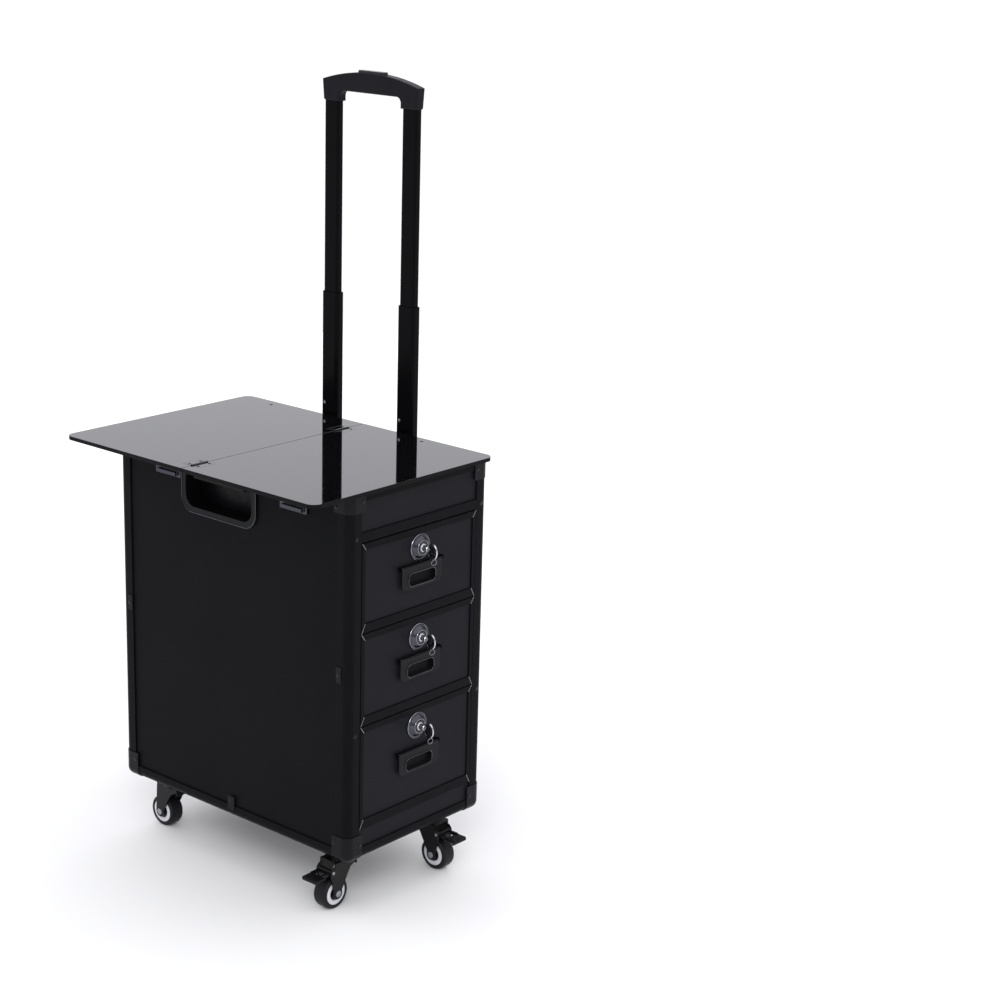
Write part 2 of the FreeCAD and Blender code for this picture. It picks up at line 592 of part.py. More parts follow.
def grip():
    """A crossbar with an arched top and two legs that wrap the inner tubes."""
    start, deep = "tube_x - grip_deep / 2", "grip_deep"
    bar = slab("YZ", "2 * grip_half", "grip_high - grip_low", "3", deep, start, "tube_y",
               "(grip_low + grip_high) / 2")
    under = slab("YZ", "2 * (tube_pitch - inner_y / 2 - 1.6)", "40", "9", "grip_deep + 2",
                 "%s - 1" % start, "tube_y", "grip_under - 20")
    sockets = [slab("XY", "inner_x", "inner_y", "3.6", "inner_high - grip_low + 1", "tube_x",
                    "tube_y + %d * tube_pitch" % s, "grip_low - 1") for s in (-1, 1)]
    pocket = block(("tube_x - button_deep / 2 - 0.3", "tube_x + button_deep / 2 + 0.3"),
                   ("tube_y - button_half - 0.3", "tube_y + button_half + 0.3"),
                   ("grip_high - 10", "grip_high + 4"))
    arch = rod("arch_round", "grip_deep + 2", "x", "%s - 1" % start, "tube_y",
               "grip_high - arch_round")
    return cut(common(bar, arch), under, pocket, *sockets)


name("handle_tube_brackets", tube_brackets())
name("handle_grip", grip())
name("release_button", slab("XY", "button_deep", "2 * button_half", "4", "7.5", "tube_x", "tube_y",
                            "grip_high - 5"))

# --------------------------------------------------------------------- casters
CASTERS = {"front_left": (-1, -1, "-x"), "front_right": (1, -1, "-y"),
           "rear_left": (-1, 1, "y"), "rear_right": (1, 1, "y")}
HEADING = {"-x": (-1, 0), "-y": (0, -1), "y": (0, 1)}


def plan(corner, ahead, aside):
    """A point of a caster, measured from its swivel along and across its heading."""
    sx, sy, heading = CASTERS[corner]
    hx, hy = HEADING[heading]
    x = "%d * (%s - inset_x) + %d * (%s) + %d * (%s)" % (sx, HALF_X, hx, ahead, -hy, aside)
    y = "%d * (%s - inset_y) + %d * (%s) + %d * (%s)" % (sy, HALF_Y, hy, ahead, hx, aside)
    return x, y


def caster_block(corner, ahead, aside, z):
    """A box given along and across a caster's heading."""
    hx, hy = HEADING[CASTERS[corner][2]]
    first, second = plan(corner, ahead[0], aside[0]), plan(corner, ahead[1], aside[1])
    x = (first[0], second[0]) if (hx > 0 or (hx == 0 and -hy > 0)) else (second[0], first[0])
    y = (first[1], second[1]) if (hy > 0 or (hy == 0 and hx > 0)) else (second[1], first[1])
    return block(x, y, z)


def caster_rod(corner, radius, ahead, aside, length, z):
    """A cylinder across a caster's heading."""
    hx, hy = HEADING[CASTERS[corner][2]]
    axis = {(-1, 0): "-y", (0, -1): "x", (0, 1): "-x"}[(hx, hy)]
    x, y = plan(corner, ahead, aside)
    return rod(radius, length, axis, x, y, z)


def caster_fork(corner, braked):
    """Two legs under a crown with the kingpin and axle, and the pedal's pivot."""
    inner = "wheel_wide / 2 + fork_gap"
    outer = "%s + fork_thick" % inner
    solids = []
    for s in (-1, 1):
        side = mirrored((inner, outer), s)
        solids.append(caster_rod(corner, "9", "trail", side[0], "fork_thick", "wheel_round"))
        solids.append(caster_block(corner, ("-14", "trail + 6"), side, ("head_low - 12", "head_low")))
        solids.append(caster_block(corner, ("trail - 22", "trail + 4"), side,
                                   ("wheel_round", "head_low - 8")))
        if braked:
            solids.append(caster_block(corner, ("trail", "trail + 14"), side,
                                       ("pedal_z - 5", "pedal_z + 6")))
    x, y = plan(corner, "0", "0")
    solids.append(caster_block(corner, ("-14", "trail + 6"), ("-(%s)" % outer, outer),
                               ("head_low - fork_thick", "head_low")))
    solids.append(rod("head_round", "fork_thick", "z", x, y, "head_low - fork_thick"))
    solids.append(rod("kingpin_round", "16", "z", x, y, "head_low - 1"))
    solids.append(caster_rod(corner, "axle_round", "trail", "-(%s) - 2" % outer,
                             "2 * (%s + 2)" % outer, "wheel_round"))
    if braked:
        solids.append(caster_rod(corner, "pivot_round", "trail + 10", "-(%s)" % outer,
                                 "2 * (%s)" % outer, "pedal_z"))
    return fuse(*solids)


def caster_wheel(corner):
    """A wheel with rounded tread edges, bored for its axle."""
    tread = caster_rod(corner, "wheel_round", "trail", "-wheel_wide / 2", "wheel_wide", "wheel_round")
    doc.recompute()
    rims = [step + 1 for step, edge in enumerate(tread.Shape.Edges) if isinstance(edge.Curve, Part.Circle)]
    rounded = fresh("Part::Fillet", "tread")
    rounded.Base = tread
    rounded.Edges = [(rim, size["tread_round"], size["tread_round"]) for rim in rims]
    return cut(rounded, caster_rod(corner, "axle_round + 0.05", "trail", "-wheel_wide",
                                   "2 * wheel_wide", "wheel_round"))


def brake_pedal(corner):
    """A foot pedal on its own hub, with a shoe that presses on the tread."""
    plate = caster_block(corner, ("trail + 26", "trail + 44"), ("-15", "15"),
                         ("pedal_z - 5", "pedal_z - 2"))
    arms = [caster_block(corner, ("trail + 9", "trail + 30"), mirrored(("8.5", "12"), s),
                         ("pedal_z - 5", "pedal_z + 1")) for s in (-1, 1)]
    hub = caster_rod(corner, "4", "trail + 10", "-13", "26", "pedal_z")
    shoe = caster_block(corner, ("trail + 13", "trail + 18"), ("-6", "6"),
                        ("pedal_z - 13", "pedal_z - 5"))
    web = caster_block(corner, ("trail + 10", "trail + 18"), ("-9", "9"), ("pedal_z - 5", "pedal_z"))
    bore = caster_rod(corner, "pivot_round + 0.05", "trail + 10", "-20", "40", "pedal_z")
    return cut(fuse(plate, *arms, hub, shoe, web), bore)


def caster_plates():
    """Top plates with their ball races, screwed to the underside of the base board."""
    plates = []
    for corner in CASTERS:
        x, y = plan(corner, "0", "0")
        plate = block(("%s - 24" % x, "%s + 24" % x), ("%s - 24" % y, "%s + 24" % y),
                      ("case_low", "case_low + ledge_thick"))
        race = rod("18", "case_low - head_low - 0.6", "z", x, y, "head_low + 0.6")
        socket = rod("kingpin_round + 0.05", "17.4", "z", x, y, "head_low - 2")
        plates.append(cut(fuse(plate, race), socket))
    return group(*plates)


name("caster_plates", caster_plates())
for corner in CASTERS:
    braked = corner.startswith("front")
    name(corner + "_caster_fork", caster_fork(corner, braked))
    name(corner + "_caster_wheel", caster_wheel(corner))
    if braked:
        name(corner + "_brake_pedal", brake_pedal(corner))

# ------------------------------------------------------------ check and write
doc.recompute()
for obj in doc.Objects:
    if "Invalid" in obj.State or "Error" in obj.State:
        raise RuntimeError("%s (%s) failed: %s" % (obj.Name, obj.Label, obj.State))
labels = [obj.Label for obj in nodes]
if len(set(labels)) != len(labels) or len(labels) > 60:
    raise RuntimeError("labels repeat or there are too many: %d" % len(labels))
for obj in nodes:
    if obj.Shape.isNull() or not obj.Shape.isValid() or obj.Shape.Volume <= 0:
        raise RuntimeError("%s has no valid shape" % obj.Label)
os.makedirs("parts", exist_ok=True)
for obj in nodes:
    obj.Shape.exportStep("parts/%s.step" % obj.Label)
box = FreeCAD.BoundBox()
for obj in nodes:
    box.add(obj.Shape.BoundBox)
print("%d sub-parts, box x %.2f..%.2f y %.2f..%.2f z %.2f..%.2f"
      % (len(nodes), box.XMin, box.XMax, box.YMin, box.YMax, box.ZMin, box.ZMax))
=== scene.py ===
# %% [markdown]
# # A rolling manicure table
# This lesson dresses a trolley case with drawers, a folding glossy top and a
# telescopic handle.  The engineering model is loaded first and stays fixed, and
# every visible piece is built around it in metres, in the same place.

# %% Load the frame
import json
import math

import bmesh
import bpy
from mathutils import Matrix, Vector


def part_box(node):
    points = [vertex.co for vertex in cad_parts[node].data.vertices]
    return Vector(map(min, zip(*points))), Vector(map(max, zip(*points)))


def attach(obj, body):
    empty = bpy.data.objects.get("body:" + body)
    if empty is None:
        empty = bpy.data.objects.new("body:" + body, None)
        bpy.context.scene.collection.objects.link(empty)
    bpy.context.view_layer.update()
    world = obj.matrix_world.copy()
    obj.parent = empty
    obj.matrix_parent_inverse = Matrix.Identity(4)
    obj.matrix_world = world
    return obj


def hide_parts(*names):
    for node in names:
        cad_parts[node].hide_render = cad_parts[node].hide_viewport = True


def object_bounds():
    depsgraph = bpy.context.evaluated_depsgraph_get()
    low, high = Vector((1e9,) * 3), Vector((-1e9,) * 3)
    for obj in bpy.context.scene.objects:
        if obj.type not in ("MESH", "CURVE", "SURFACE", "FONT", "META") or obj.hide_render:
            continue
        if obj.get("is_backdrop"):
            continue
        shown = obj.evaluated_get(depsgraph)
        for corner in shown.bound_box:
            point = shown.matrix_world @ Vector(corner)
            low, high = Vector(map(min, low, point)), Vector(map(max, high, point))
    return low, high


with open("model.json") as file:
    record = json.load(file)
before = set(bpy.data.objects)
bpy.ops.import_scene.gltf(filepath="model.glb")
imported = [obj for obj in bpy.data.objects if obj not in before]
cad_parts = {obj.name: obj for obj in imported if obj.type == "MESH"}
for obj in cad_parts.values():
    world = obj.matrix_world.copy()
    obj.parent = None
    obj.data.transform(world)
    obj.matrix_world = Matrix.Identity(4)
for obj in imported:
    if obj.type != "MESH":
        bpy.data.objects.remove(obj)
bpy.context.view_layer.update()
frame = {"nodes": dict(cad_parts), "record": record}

# %% [markdown]
# Sizes are easiest to read in millimetres, counted from the middle of the case
# and up from the floor.  One helper turns such a point into metres in the frame,
# so that every later cell can use the numbers of a workshop drawing.

# %% A place to measure from
rails_low, rails_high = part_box("edge_rails")
MIDDLE = (rails_low + rails_high) / 2
HALF_X = (rails_high.x - rails_low.x) * 500
HALF_Y = (rails_high.y - rails_low.y) * 500
FRONT = -HALF_Y


def spot(x, y, z):
    """A point in metres from millimetres about the middle of the case."""
    return Vector((MIDDLE.x + x / 1000, MIDDLE.y + y / 1000, z / 1000))


def limits(node):
    """The lowest and highest corner of a node, in the case's millimetres."""
    low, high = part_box(node)
    shift = Vector((MIDDLE.x, MIDDLE.y, 0))
    return (low - shift) * 1000, (high - shift) * 1000


def centre(node):
    """The middle of a node, in the case's millimetres."""
    low, high = limits(node)
    return (low + high) / 2


print("half width", round(HALF_X, 1), "half depth", round(HALF_Y, 1), "mm")

# %% [markdown]
# Paint charts give colours as sRGB codes, but a shader works in linear light, so
# one function does the conversion.  Another adds a node with its settings and
# links.  Three more drive the parts of a finish that vary, its tone, its sheen and
# its relief, which keeps each material short enough to read as a recipe.

# %% Colours and nodes


def linear(code):
    """An sRGB hex code as a linear colour with full alpha."""
    parts = [int(code[i:i + 2], 16) / 255 for i in (1, 3, 5)]
    light = [c / 12.92 if c <= 0.04045 else ((c + 0.055) / 1.055) ** 2.4 for c in parts]
    return (*light, 1.0)


def add(tree, kind, inputs, **settings):
    """Adds a node, sets it up and links its inputs."""
    node = tree.nodes.new(kind)
    for key, value in settings.items():
        setattr(node, key, value)
    for key, value in inputs.items():
        if isinstance(value, bpy.types.NodeSocket):
            tree.links.new(value, node.inputs[key])
        else:
            node.inputs[key].default_value = value
    return node


def start_material(name, **sockets):
    """A material with its own shader, and coordinates fixed to the object."""
    material = bpy.data.materials.new(name)
    material.use_nodes = True
    tree = material.node_tree
    tree.nodes.clear()
    shader = add(tree, "ShaderNodeBsdfPrincipled", {})
    for key, value in sockets.items():
        shader.inputs[key.replace("_", " ")].default_value = value
    add(tree, "ShaderNodeOutputMaterial", {"Surface": shader.outputs["BSDF"]})
    place = add(tree, "ShaderNodeTexCoord", {}).outputs["Object"]
    return material, tree, shader, place


def pattern(tree, kind, place, feature_mm, inputs, **settings):
    """A texture whose features have a real size."""
    return add(tree, kind, {"Vector": place, "Scale": 1000 / feature_mm, **inputs}, **settings)


def tint(tree, shader, amount, dark, pale):
    """Lets the base colour drift between two shades."""
    tone = add(tree, "ShaderNodeMix", {0: amount, 6: linear(dark), 7: linear(pale)},
               data_type="RGBA")
    tree.links.new(tone.outputs[2], shader.inputs["Base Color"])


def sheen(tree, shader, amount, seen, wanted):
    """Lets the roughness follow a pattern, from one pair of values to another."""
    gloss = add(tree, "ShaderNodeMapRange",
                {"Value": amount, "From Min": seen[0], "From Max": seen[1],
                 "To Min": wanted[0], "To Max": wanted[1]})
    tree.links.new(gloss.outputs["Result"], shader.inputs["Roughness"])


def relief(tree, shader, height, strength, depth_mm):
    """Turns a pattern into a fine relief of a real depth."""
    bump = add(tree, "ShaderNodeBump", {"Height": height, "Strength": strength,
                                        "Distance": depth_mm / 1000})
    tree.links.new(bump.outputs["Normal"], shader.inputs["Normal"])


print("satin black in linear light", [round(v, 4) for v in linear("#1B1B1E")[:3]])

# %% [markdown]
# Most finishes on this object are a colour that varies a little, a sheen that
# varies a little, and a fine relief left by the way the part was made.  One
# recipe covers them: a soft cloud for the tone, a finer one for wear in the
# sheen, and a grain whose size is a real one.  Stretching the grain along an
# axis turns it into drawing or brushing marks.

# %% A recipe for a made surface


def made_surface(name, dark, pale, rough, grain_mm, depth_mm, stretch=(1, 1, 1), cloud_mm=45,
                 **sockets):
    """A material with a varied tone, a varied sheen and a fine grain."""
    material, tree, shader, place = start_material(name, **sockets)
    cloud = pattern(tree, "ShaderNodeTexNoise", place, cloud_mm, {"Detail": 4.0})
    tint(tree, shader, cloud.outputs["Fac"], dark, pale)
    wear = pattern(tree, "ShaderNodeTexNoise", place, cloud_mm / 6, {"Detail": 6.0})
    sheen(tree, shader, wear.outputs["Fac"], (0.3, 0.7), rough)
    drawn = add(tree, "ShaderNodeMapping", {"Vector": place, "Scale": stretch}).outputs["Vector"]
    grain = pattern(tree, "ShaderNodeTexNoise", drawn, grain_mm, {"Detail": 3.0})
    relief(tree, shader, grain.outputs["Fac"], 0.6, depth_mm)
    return material


print("one recipe now varies the tone, the sheen and the relief")

# %% [markdown]
# The case is edged in extruded aluminium with a satin black powder coat.  The
# powder melts into a skin with a faint orange peel about 0.9 mm across, which
# breaks up the edge of every reflection.  The caps are stamped steel, painted a
# little glossier.

# %% Powder coat and painted steel
# this coat also paints the shade inside each pull slot, as a dark strip
POWDER_COAT_AND_SHADE = made_surface("black_powder_coated_aluminium", "#070709", "#0E0E11", (0.36, 0.5),
                           0.9, 0.035, Specular_IOR_Level=0.05)
PAINTED_STEEL = made_surface("black_painted_steel", "#09090B", "#111114", (0.26, 0.4), 1.1, 0.03,
                             Specular_IOR_Level=0.12)
print("made", POWDER_COAT_AND_SHADE.name, "and", PAINTED_STEEL.name)

# %% [markdown]
# The walls and drawer fronts are board with a pressed laminate skin.  Its
# pebble grain is a cell pattern about 0.8 mm across, drawn a little coarser than
# life so that it shows, and it scatters light enough to look slate grey where
# the bare profiles look black.  The faces turned to the front, the drawer fronts,
# the fascia and the kick panel, wear a lighter copy of the wall laminate: the
# extra light that falls on those faces is painted into its colour.

# %% Laminate for the walls and drawer fronts
PEBBLE_MM = 0.8


def laminate(name, dark, pale, specular):
    """A pressed laminate with a pebble grain."""
    material, tree, shader, place = start_material(name, Specular_IOR_Level=specular)
    cloud = pattern(tree, "ShaderNodeTexNoise", place, 140, {"Detail": 3.0})
    tint(tree, shader, cloud.outputs["Fac"], dark, pale)
    pebble = pattern(tree, "ShaderNodeTexVoronoi", place, PEBBLE_MM, {}, feature="SMOOTH_F1")
    sheen(tree, shader, pebble.outputs["Distance"], (0.0, 0.8), (0.42, 0.6))
    relief(tree, shader, pebble.outputs["Distance"], 0.5, 0.06)
    return material


WALL_LAMINATE = laminate("black_pebbled_laminate", "#0B0B0D", "#121215", 0.045)
# painted light: a lighter copy of the wall laminate for the faces turned to the front
FRONT_LIT_LAMINATE = laminate("slate_pebbled_laminate", "#151419", "#1C1B21", 0.07)
print("made", WALL_LAMINATE.name, "and", FRONT_LIT_LAMINATE.name)

# %% [markdown]
# The top is polished acrylic: almost black, with a mirror-like skin.  Real ones
# carry hairline wiping marks, so the roughness has thin stretched streaks that
# stay close to zero.  The cut edge of the sheet is left as the saw leaves it, matt.

# %% Polished acrylic


def polished_acrylic():
    """Black acrylic with faint wiping marks."""
    material, tree, shader, place = start_material("polished_black_acrylic", IOR=1.6,
                                                   Specular_IOR_Level=0.62)
    cloud = pattern(tree, "ShaderNodeTexNoise", place, 200, {"Detail": 2.0})
    tint(tree, shader, cloud.outputs["Fac"], "#050506", "#08080A")
    wiped = add(tree, "ShaderNodeMapping", {"Vector": place, "Rotation": (0, 0, 0.5),
                                            "Scale": (1, 14, 1)}).outputs["Vector"]
    streaks = pattern(tree, "ShaderNodeTexNoise", wiped, 60, {"Detail": 8.0})
    sheen(tree, shader, streaks.outputs["Fac"], (0.4, 0.75), (0.02, 0.075))
    return material


TOP_GLOSS = polished_acrylic()
SAWN_ACRYLIC = made_surface("sawn_black_acrylic", "#060607", "#0C0C0E", (0.4, 0.55), 1.0, 0.03,
                            Specular_IOR_Level=0.08)
print("made", TOP_GLOSS.name, "and", SAWN_ACRYLIC.name)

# %% [markdown]
# Metal fittings are told apart by their plating.  Black nickel, a dark mirror,
# covers the locks, and its satin form the lid catches; the same satin plate, lighter
# than the parts around it, is a painted highlight on the pull lips and on the bead
# round the carry cup.  Satin nickel makes painted highlight rims on the locks and
# covers the bows of the keys, while the keys themselves and the tube catches are
# bright nickel.  Rivets are black zinc, the nuts and ball races of the casters pale
# zinc, and the runners, tracks and saw-cut mitres are mill-finish aluminium with
# drawing marks.

# %% Metals
BLACK_NICKEL = made_surface("black_nickel_plate", "#3E3E45", "#525259", (0.05, 0.13), 3.0, 0.006,
                            Metallic=1.0)
# its satin plate also paints highlights on the pull lips and the carry cup's bead
DARK_NICKEL_AND_HIGHLIGHT = made_surface("satin_black_nickel_plate", "#3A3A40", "#4E4E56", (0.16, 0.28), 2.0,
                           0.006, Metallic=1.0)
# satin nickel also paints the highlight rims on the locks
SATIN_NICKEL_AND_HIGHLIGHT = made_surface("satin_nickel_plate", "#77777D", "#919197", (0.16, 0.3), 2.0, 0.008,
                            Metallic=1.0)
BLACK_ZINC = made_surface("black_zinc_plated_steel", "#242427", "#323236", (0.2, 0.34), 1.5, 0.01,
                          cloud_mm=10, Metallic=1.0)
BRIGHT_NICKEL = made_surface("bright_nickel_plate", "#B4B4B8", "#CFCFD2", (0.12, 0.26), 2.0, 0.01,
                             Metallic=1.0)
ZINC_PLATE = made_surface("zinc_plated_steel", "#8E9095", "#A6A8AC", (0.24, 0.42), 1.2, 0.02,
                          cloud_mm=12, Metallic=1.0)
MILL_ALLOY = made_surface("mill_finish_aluminium", "#8A8B8E", "#A3A4A6", (0.3, 0.5), 1.5, 0.02,
                          stretch=(6, 0.3, 6), Metallic=1.0)
metals = [m.name for m in bpy.data.materials if "nickel" in m.name or "zinc" in m.name]
print("plated metals:", ", ".join(metals))

# %% [markdown]
# The telescopic tubes are black anodised aluminium: metal under a dyed oxide
# skin, with faint extrusion lines along Z.  The grip and button are moulded ABS
# with a spark-eroded grain.

# %% Tubes, grip and plastics
ANODISED = made_surface("black_anodised_aluminium", "#040405", "#09090B", (0.16, 0.24), 1.4, 0.008,
                        stretch=(5, 5, 0.12), Specular_IOR_Level=0.045)
GRIP_ABS = made_surface("moulded_black_abs", "#0E0E12", "#17171C", (0.3, 0.44), 0.7, 0.05,
                        Specular_IOR_Level=0.09)
BUTTON_ABS = made_surface("smooth_grey_abs", "#1E1E24", "#2A2A31", (0.25, 0.35), 0.9, 0.02,
                          Specular_IOR_Level=0.2)
TRAY_ABS = made_surface("matt_black_abs", "#121214", "#19191C", (0.5, 0.66), 0.6, 0.05,
                        Specular_IOR_Level=0.2)
DARK_BOARD = made_surface("dark_melamine_board", "#111113", "#1A1A1C", (0.5, 0.65), 1.6, 0.04,
                          Specular_IOR_Level=0.15)
print("the tubes wear", ANODISED.name, "and the grip", GRIP_ABS.name)

# %% [markdown]
# Caster parts are plain: pressed steel forks with a thick black finish, wheels
# with a polyurethane tread, and a pale nylon ring at the hub.

# %% Caster finishes
FORK_FINISH = made_surface("black_pressed_steel", "#08080A", "#101012", (0.2, 0.36), 1.3, 0.03,
                           Specular_IOR_Level=0.2)
TREAD = made_surface("black_polyurethane_tread", "#0E0E10", "#19191C", (0.42, 0.6), 0.8, 0.05,
                     cloud_mm=14, Specular_IOR_Level=0.2)
PALE_NYLON = made_surface("pale_grey_nylon", "#BCBCC2", "#DADADF", (0.34, 0.46), 0.9, 0.02)
PEDAL_NYLON = made_surface("black_glass_filled_nylon", "#0A0A0C", "#131316", (0.3, 0.45), 0.7, 0.05,
                           Specular_IOR_Level=0.2)
print("materials so far:", len(bpy.data.materials))

# %% [markdown]
# A few mesh tools come next.  A bar starts as a cube, a turned part as a half
# section that is spun round, and a plate as a loop whose four corners are rounded.
# A rolled lip is a row of such loops.  Each edge gets a small bevel, because a real
# edge is never perfectly sharp and that thin bright line makes it look solid.

# %% Bars, turned parts and loops


def soften(mesh, width, segments=2, over=35):
    """Bevels every edge that turns by more than an angle in degrees."""
    mesh.edges.ensure_lookup_table()
    limit = math.radians(over)
    sharp = [e for e in mesh.edges if len(e.link_faces) == 2 and e.calc_face_angle() > limit]
    bmesh.ops.bevel(mesh, geom=sharp, offset=width / 1000, offset_type="OFFSET", segments=segments,
                    profile=0.5, affect="EDGES", clamp_overlap=True, material=-1)
    return mesh


def bar(x, y, z, edge=0.4):
    """A box between pairs of millimetre limits, with softened edges."""
    mesh = bmesh.new()
    bmesh.ops.create_cube(mesh, size=1)
    low, high = spot(x[0], y[0], z[0]), spot(x[1], y[1], z[1])
    bmesh.ops.scale(mesh, vec=high - low, verts=mesh.verts)
    bmesh.ops.translate(mesh, vec=(low + high) / 2, verts=mesh.verts)
    return soften(mesh, edge) if edge else mesh


def moved(mesh, matrix):
    """Moves a whole part by a matrix."""
    bmesh.ops.transform(mesh, matrix=matrix, verts=mesh.verts)
    return mesh


def spun(mesh, steps):
    """Spins a part's outline once round Z and closes the seam."""
    bmesh.ops.spin(mesh, geom=mesh.verts[:] + mesh.edges[:], cent=(0, 0, 0), axis=(0, 0, 1),
                   angle=2 * math.pi, steps=steps, use_merge=True)
    bmesh.ops.remove_doubles(mesh, verts=mesh.verts, dist=1e-6)
    bmesh.ops.recalc_face_normals(mesh, faces=mesh.faces)
    return mesh


def rod(radius, start, end):
    """The half section of a plain rod."""
    return [(0, start), (radius, start), (radius, end), (0, end)]


def turned(section, steps=40):
    """Spins a section of (radius, height) points in millimetres round Z."""
    mesh = bmesh.new()
    points = [mesh.verts.new((r / 1000, 0, h / 1000)) for r, h in section]
    for pair in zip(points, points[1:]):
        mesh.edges.new(pair)
    return spun(mesh, steps)


def loop(mesh, wide, tall, radii, segments=6, lift=0.0, middle=(0, 0)):
    """A closed loop in XY with its four corners rounded, in millimetres."""
    signs = ((-1, -1), (1, -1), (1, 1), (-1, 1))
    corners = [mesh.verts.new(Vector((middle[0] + sx * wide / 2, middle[1] + sy * tall / 2, lift))
                              / 1000) for sx, sy in signs]
    edges = [mesh.edges.new((corners[i], corners[(i + 1) % 4])) for i in range(4)]
    known = set(mesh.edges) - set(edges)
    for corner, radius in zip(corners, radii):
        bmesh.ops.bevel(mesh, geom=[corner], offset=radius / 1000, offset_type="OFFSET",
                        segments=segments, profile=0.5, affect="VERTICES", material=-1)
    return [e for e in mesh.edges if e not in known]


def ring(radius, wire, steps=28):
    """A closed ring of round wire, in millimetres."""
    mesh = bmesh.new()
    bmesh.ops.create_circle(mesh, cap_ends=False, segments=10, radius=wire / 1000)
    bmesh.ops.rotate(mesh, cent=(0, 0, 0), matrix=Matrix.Rotation(math.pi / 2, 3, "X"),
                     verts=mesh.verts)
    bmesh.ops.translate(mesh, vec=(radius / 1000, 0, 0), verts=mesh.verts)
    return spun(mesh, steps)


def lip(wide, tall, radius, bands, segments=6, middle=(0, 0)):
    """A rolled lip round an opening: loops set out and lifted, bridged one by one."""
    mesh = bmesh.new()
    rings = [loop(mesh, wide + 2 * out, tall + 2 * out, (radius + out,) * 4, segments, lift, middle)
             for out, lift in bands]
    for one, two in zip(rings, rings[1:] + rings[:1]):
        bmesh.ops.bridge_loops(mesh, edges=one + two)
    bmesh.ops.recalc_face_normals(mesh, faces=mesh.faces)
    return mesh


def pushed(mesh, x, y, z):
    """Gives a flat outline its thickness by pushing a copy of it, in millimetres."""
    grown = bmesh.ops.extrude_face_region(mesh, geom=mesh.faces[:])["geom"]
    moving = [v for v in grown if isinstance(v, bmesh.types.BMVert)]
    bmesh.ops.translate(mesh, vec=Vector((x, y, z)) / 1000, verts=moving)
    bmesh.ops.recalc_face_normals(mesh, faces=mesh.faces)
    return mesh


print("a test bar has", len(bar((0, 9), (0, 9), (0, 9)).faces), "faces")

# %% [markdown]
# Parts are made at the origin, then aimed and set down.  Several of them are often
# joined into one piece, with a number on each face that picks its material.  The
# last helper hands a finished mesh over as a visible piece: it takes the name, lets
# it ride on its body and hides the engineering nodes it stands for.

# %% From parts to pieces


def aimed(mesh, direction, place):
    """Turns a part's Z towards a direction and sets it down at a place."""
    turn = Vector(direction).to_track_quat("Z", "Y").to_matrix().to_4x4()
    return moved(mesh, Matrix.Translation(place) @ turn)


def joined(parts):
    """One mesh out of several."""
    whole = bmesh.new()
    for part in parts:
        store = bpy.data.meshes.new("store")
        part.to_mesh(store)
        part.free()
        whole.from_mesh(store)
        bpy.data.meshes.remove(store)
    return whole


def painted(mesh, index):
    """Gives all of a part's faces one material number."""
    for face in mesh.faces:
        face.material_index = index
    return mesh


def piece(name, mesh, materials, body, stands_for=(), turn_over=30):
    """Makes a visible piece from a mesh and lets it ride on a body."""
    data = bpy.data.meshes.new(name)
    mesh.to_mesh(data)
    mesh.free()
    for material in materials if isinstance(materials, list) else [materials]:
        data.materials.append(material)
    data.shade_smooth()
    data.set_sharp_from_angle(angle=math.radians(turn_over))
    made = bpy.data.objects.new(name, data)
    bpy.context.scene.collection.objects.link(made)
    even = made.modifiers.new("even_shading", "WEIGHTED_NORMAL")
    even.keep_sharp = True
    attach(made, body)
    if stands_for:
        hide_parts(*stands_for)
    return made


# %% [markdown]
# Much of the case has the right shape already: panels, profiles, trays, tubes.
# What those parts lack is a worn edge.  A copy of each is merged, its flat faces
# are joined back into whole faces, and its sharp edges are bevelled.  The copy
# stands for the original, which stays in the model for collision.

# %% Parts that keep their shape
BODY_OF = {node: body for body, group in frame["record"]["behaviour"]["bodies"].items()
           for node in group}
DRAWERS = (1, 2, 3)


def merged(node):
    """A copy of a node's mesh with its points merged and its flat faces made whole."""
    mesh = bmesh.new()
    mesh.from_mesh(frame["nodes"][node].data)
    bmesh.ops.remove_doubles(mesh, verts=mesh.verts, dist=2e-6)
    bmesh.ops.dissolve_limit(mesh, angle_limit=math.radians(0.5), verts=mesh.verts,
                             edges=mesh.edges)
    return mesh


def refined(node, edge, segments=2):
    """A merged copy of a node's mesh with softened edges."""
    return soften(merged(node), edge, segments)


def stands_in(node, mesh, materials):
    """Shows a mesh in place of its node, on the same body."""
    return piece(node + "_shown", mesh, materials, BODY_OF[node], [node])


KEPT = [("corner_posts", POWDER_COAT_AND_SHADE, 0.5), ("edge_rails", POWDER_COAT_AND_SHADE, 0.5),
        ("corner_caps", PAINTED_STEEL, 0.4), ("left_side_panel", WALL_LAMINATE, 0.3),
        ("right_side_panel", WALL_LAMINATE, 0.3), ("back_panel", WALL_LAMINATE, 0.3),
        ("top_fascia_panel", FRONT_LIT_LAMINATE, 0.3), ("kick_panel", FRONT_LIT_LAMINATE, 0.3),
        ("base_board", DARK_BOARD, 0.4), ("top_deck", DARK_BOARD, 0.4),
        ("drawer_cross_rails", POWDER_COAT_AND_SHADE, 0.4), ("carry_handle_cup", PAINTED_STEEL, 0.9),
        ("lid_catches", DARK_NICKEL_AND_HIGHLIGHT, 0.6), ("drawer_runner_tracks", MILL_ALLOY, 0.4),
        ("fixed_hinge_plates", TOP_GLOSS, 0.2), ("moving_hinge_plates", TOP_GLOSS, 0.2),
        ("outer_handle_tubes", ANODISED, 0.25), ("middle_handle_tubes", ANODISED, 0.25),
        ("inner_handle_tubes", ANODISED, 0.25), ("handle_tube_brackets", POWDER_COAT_AND_SHADE, 0.5)]
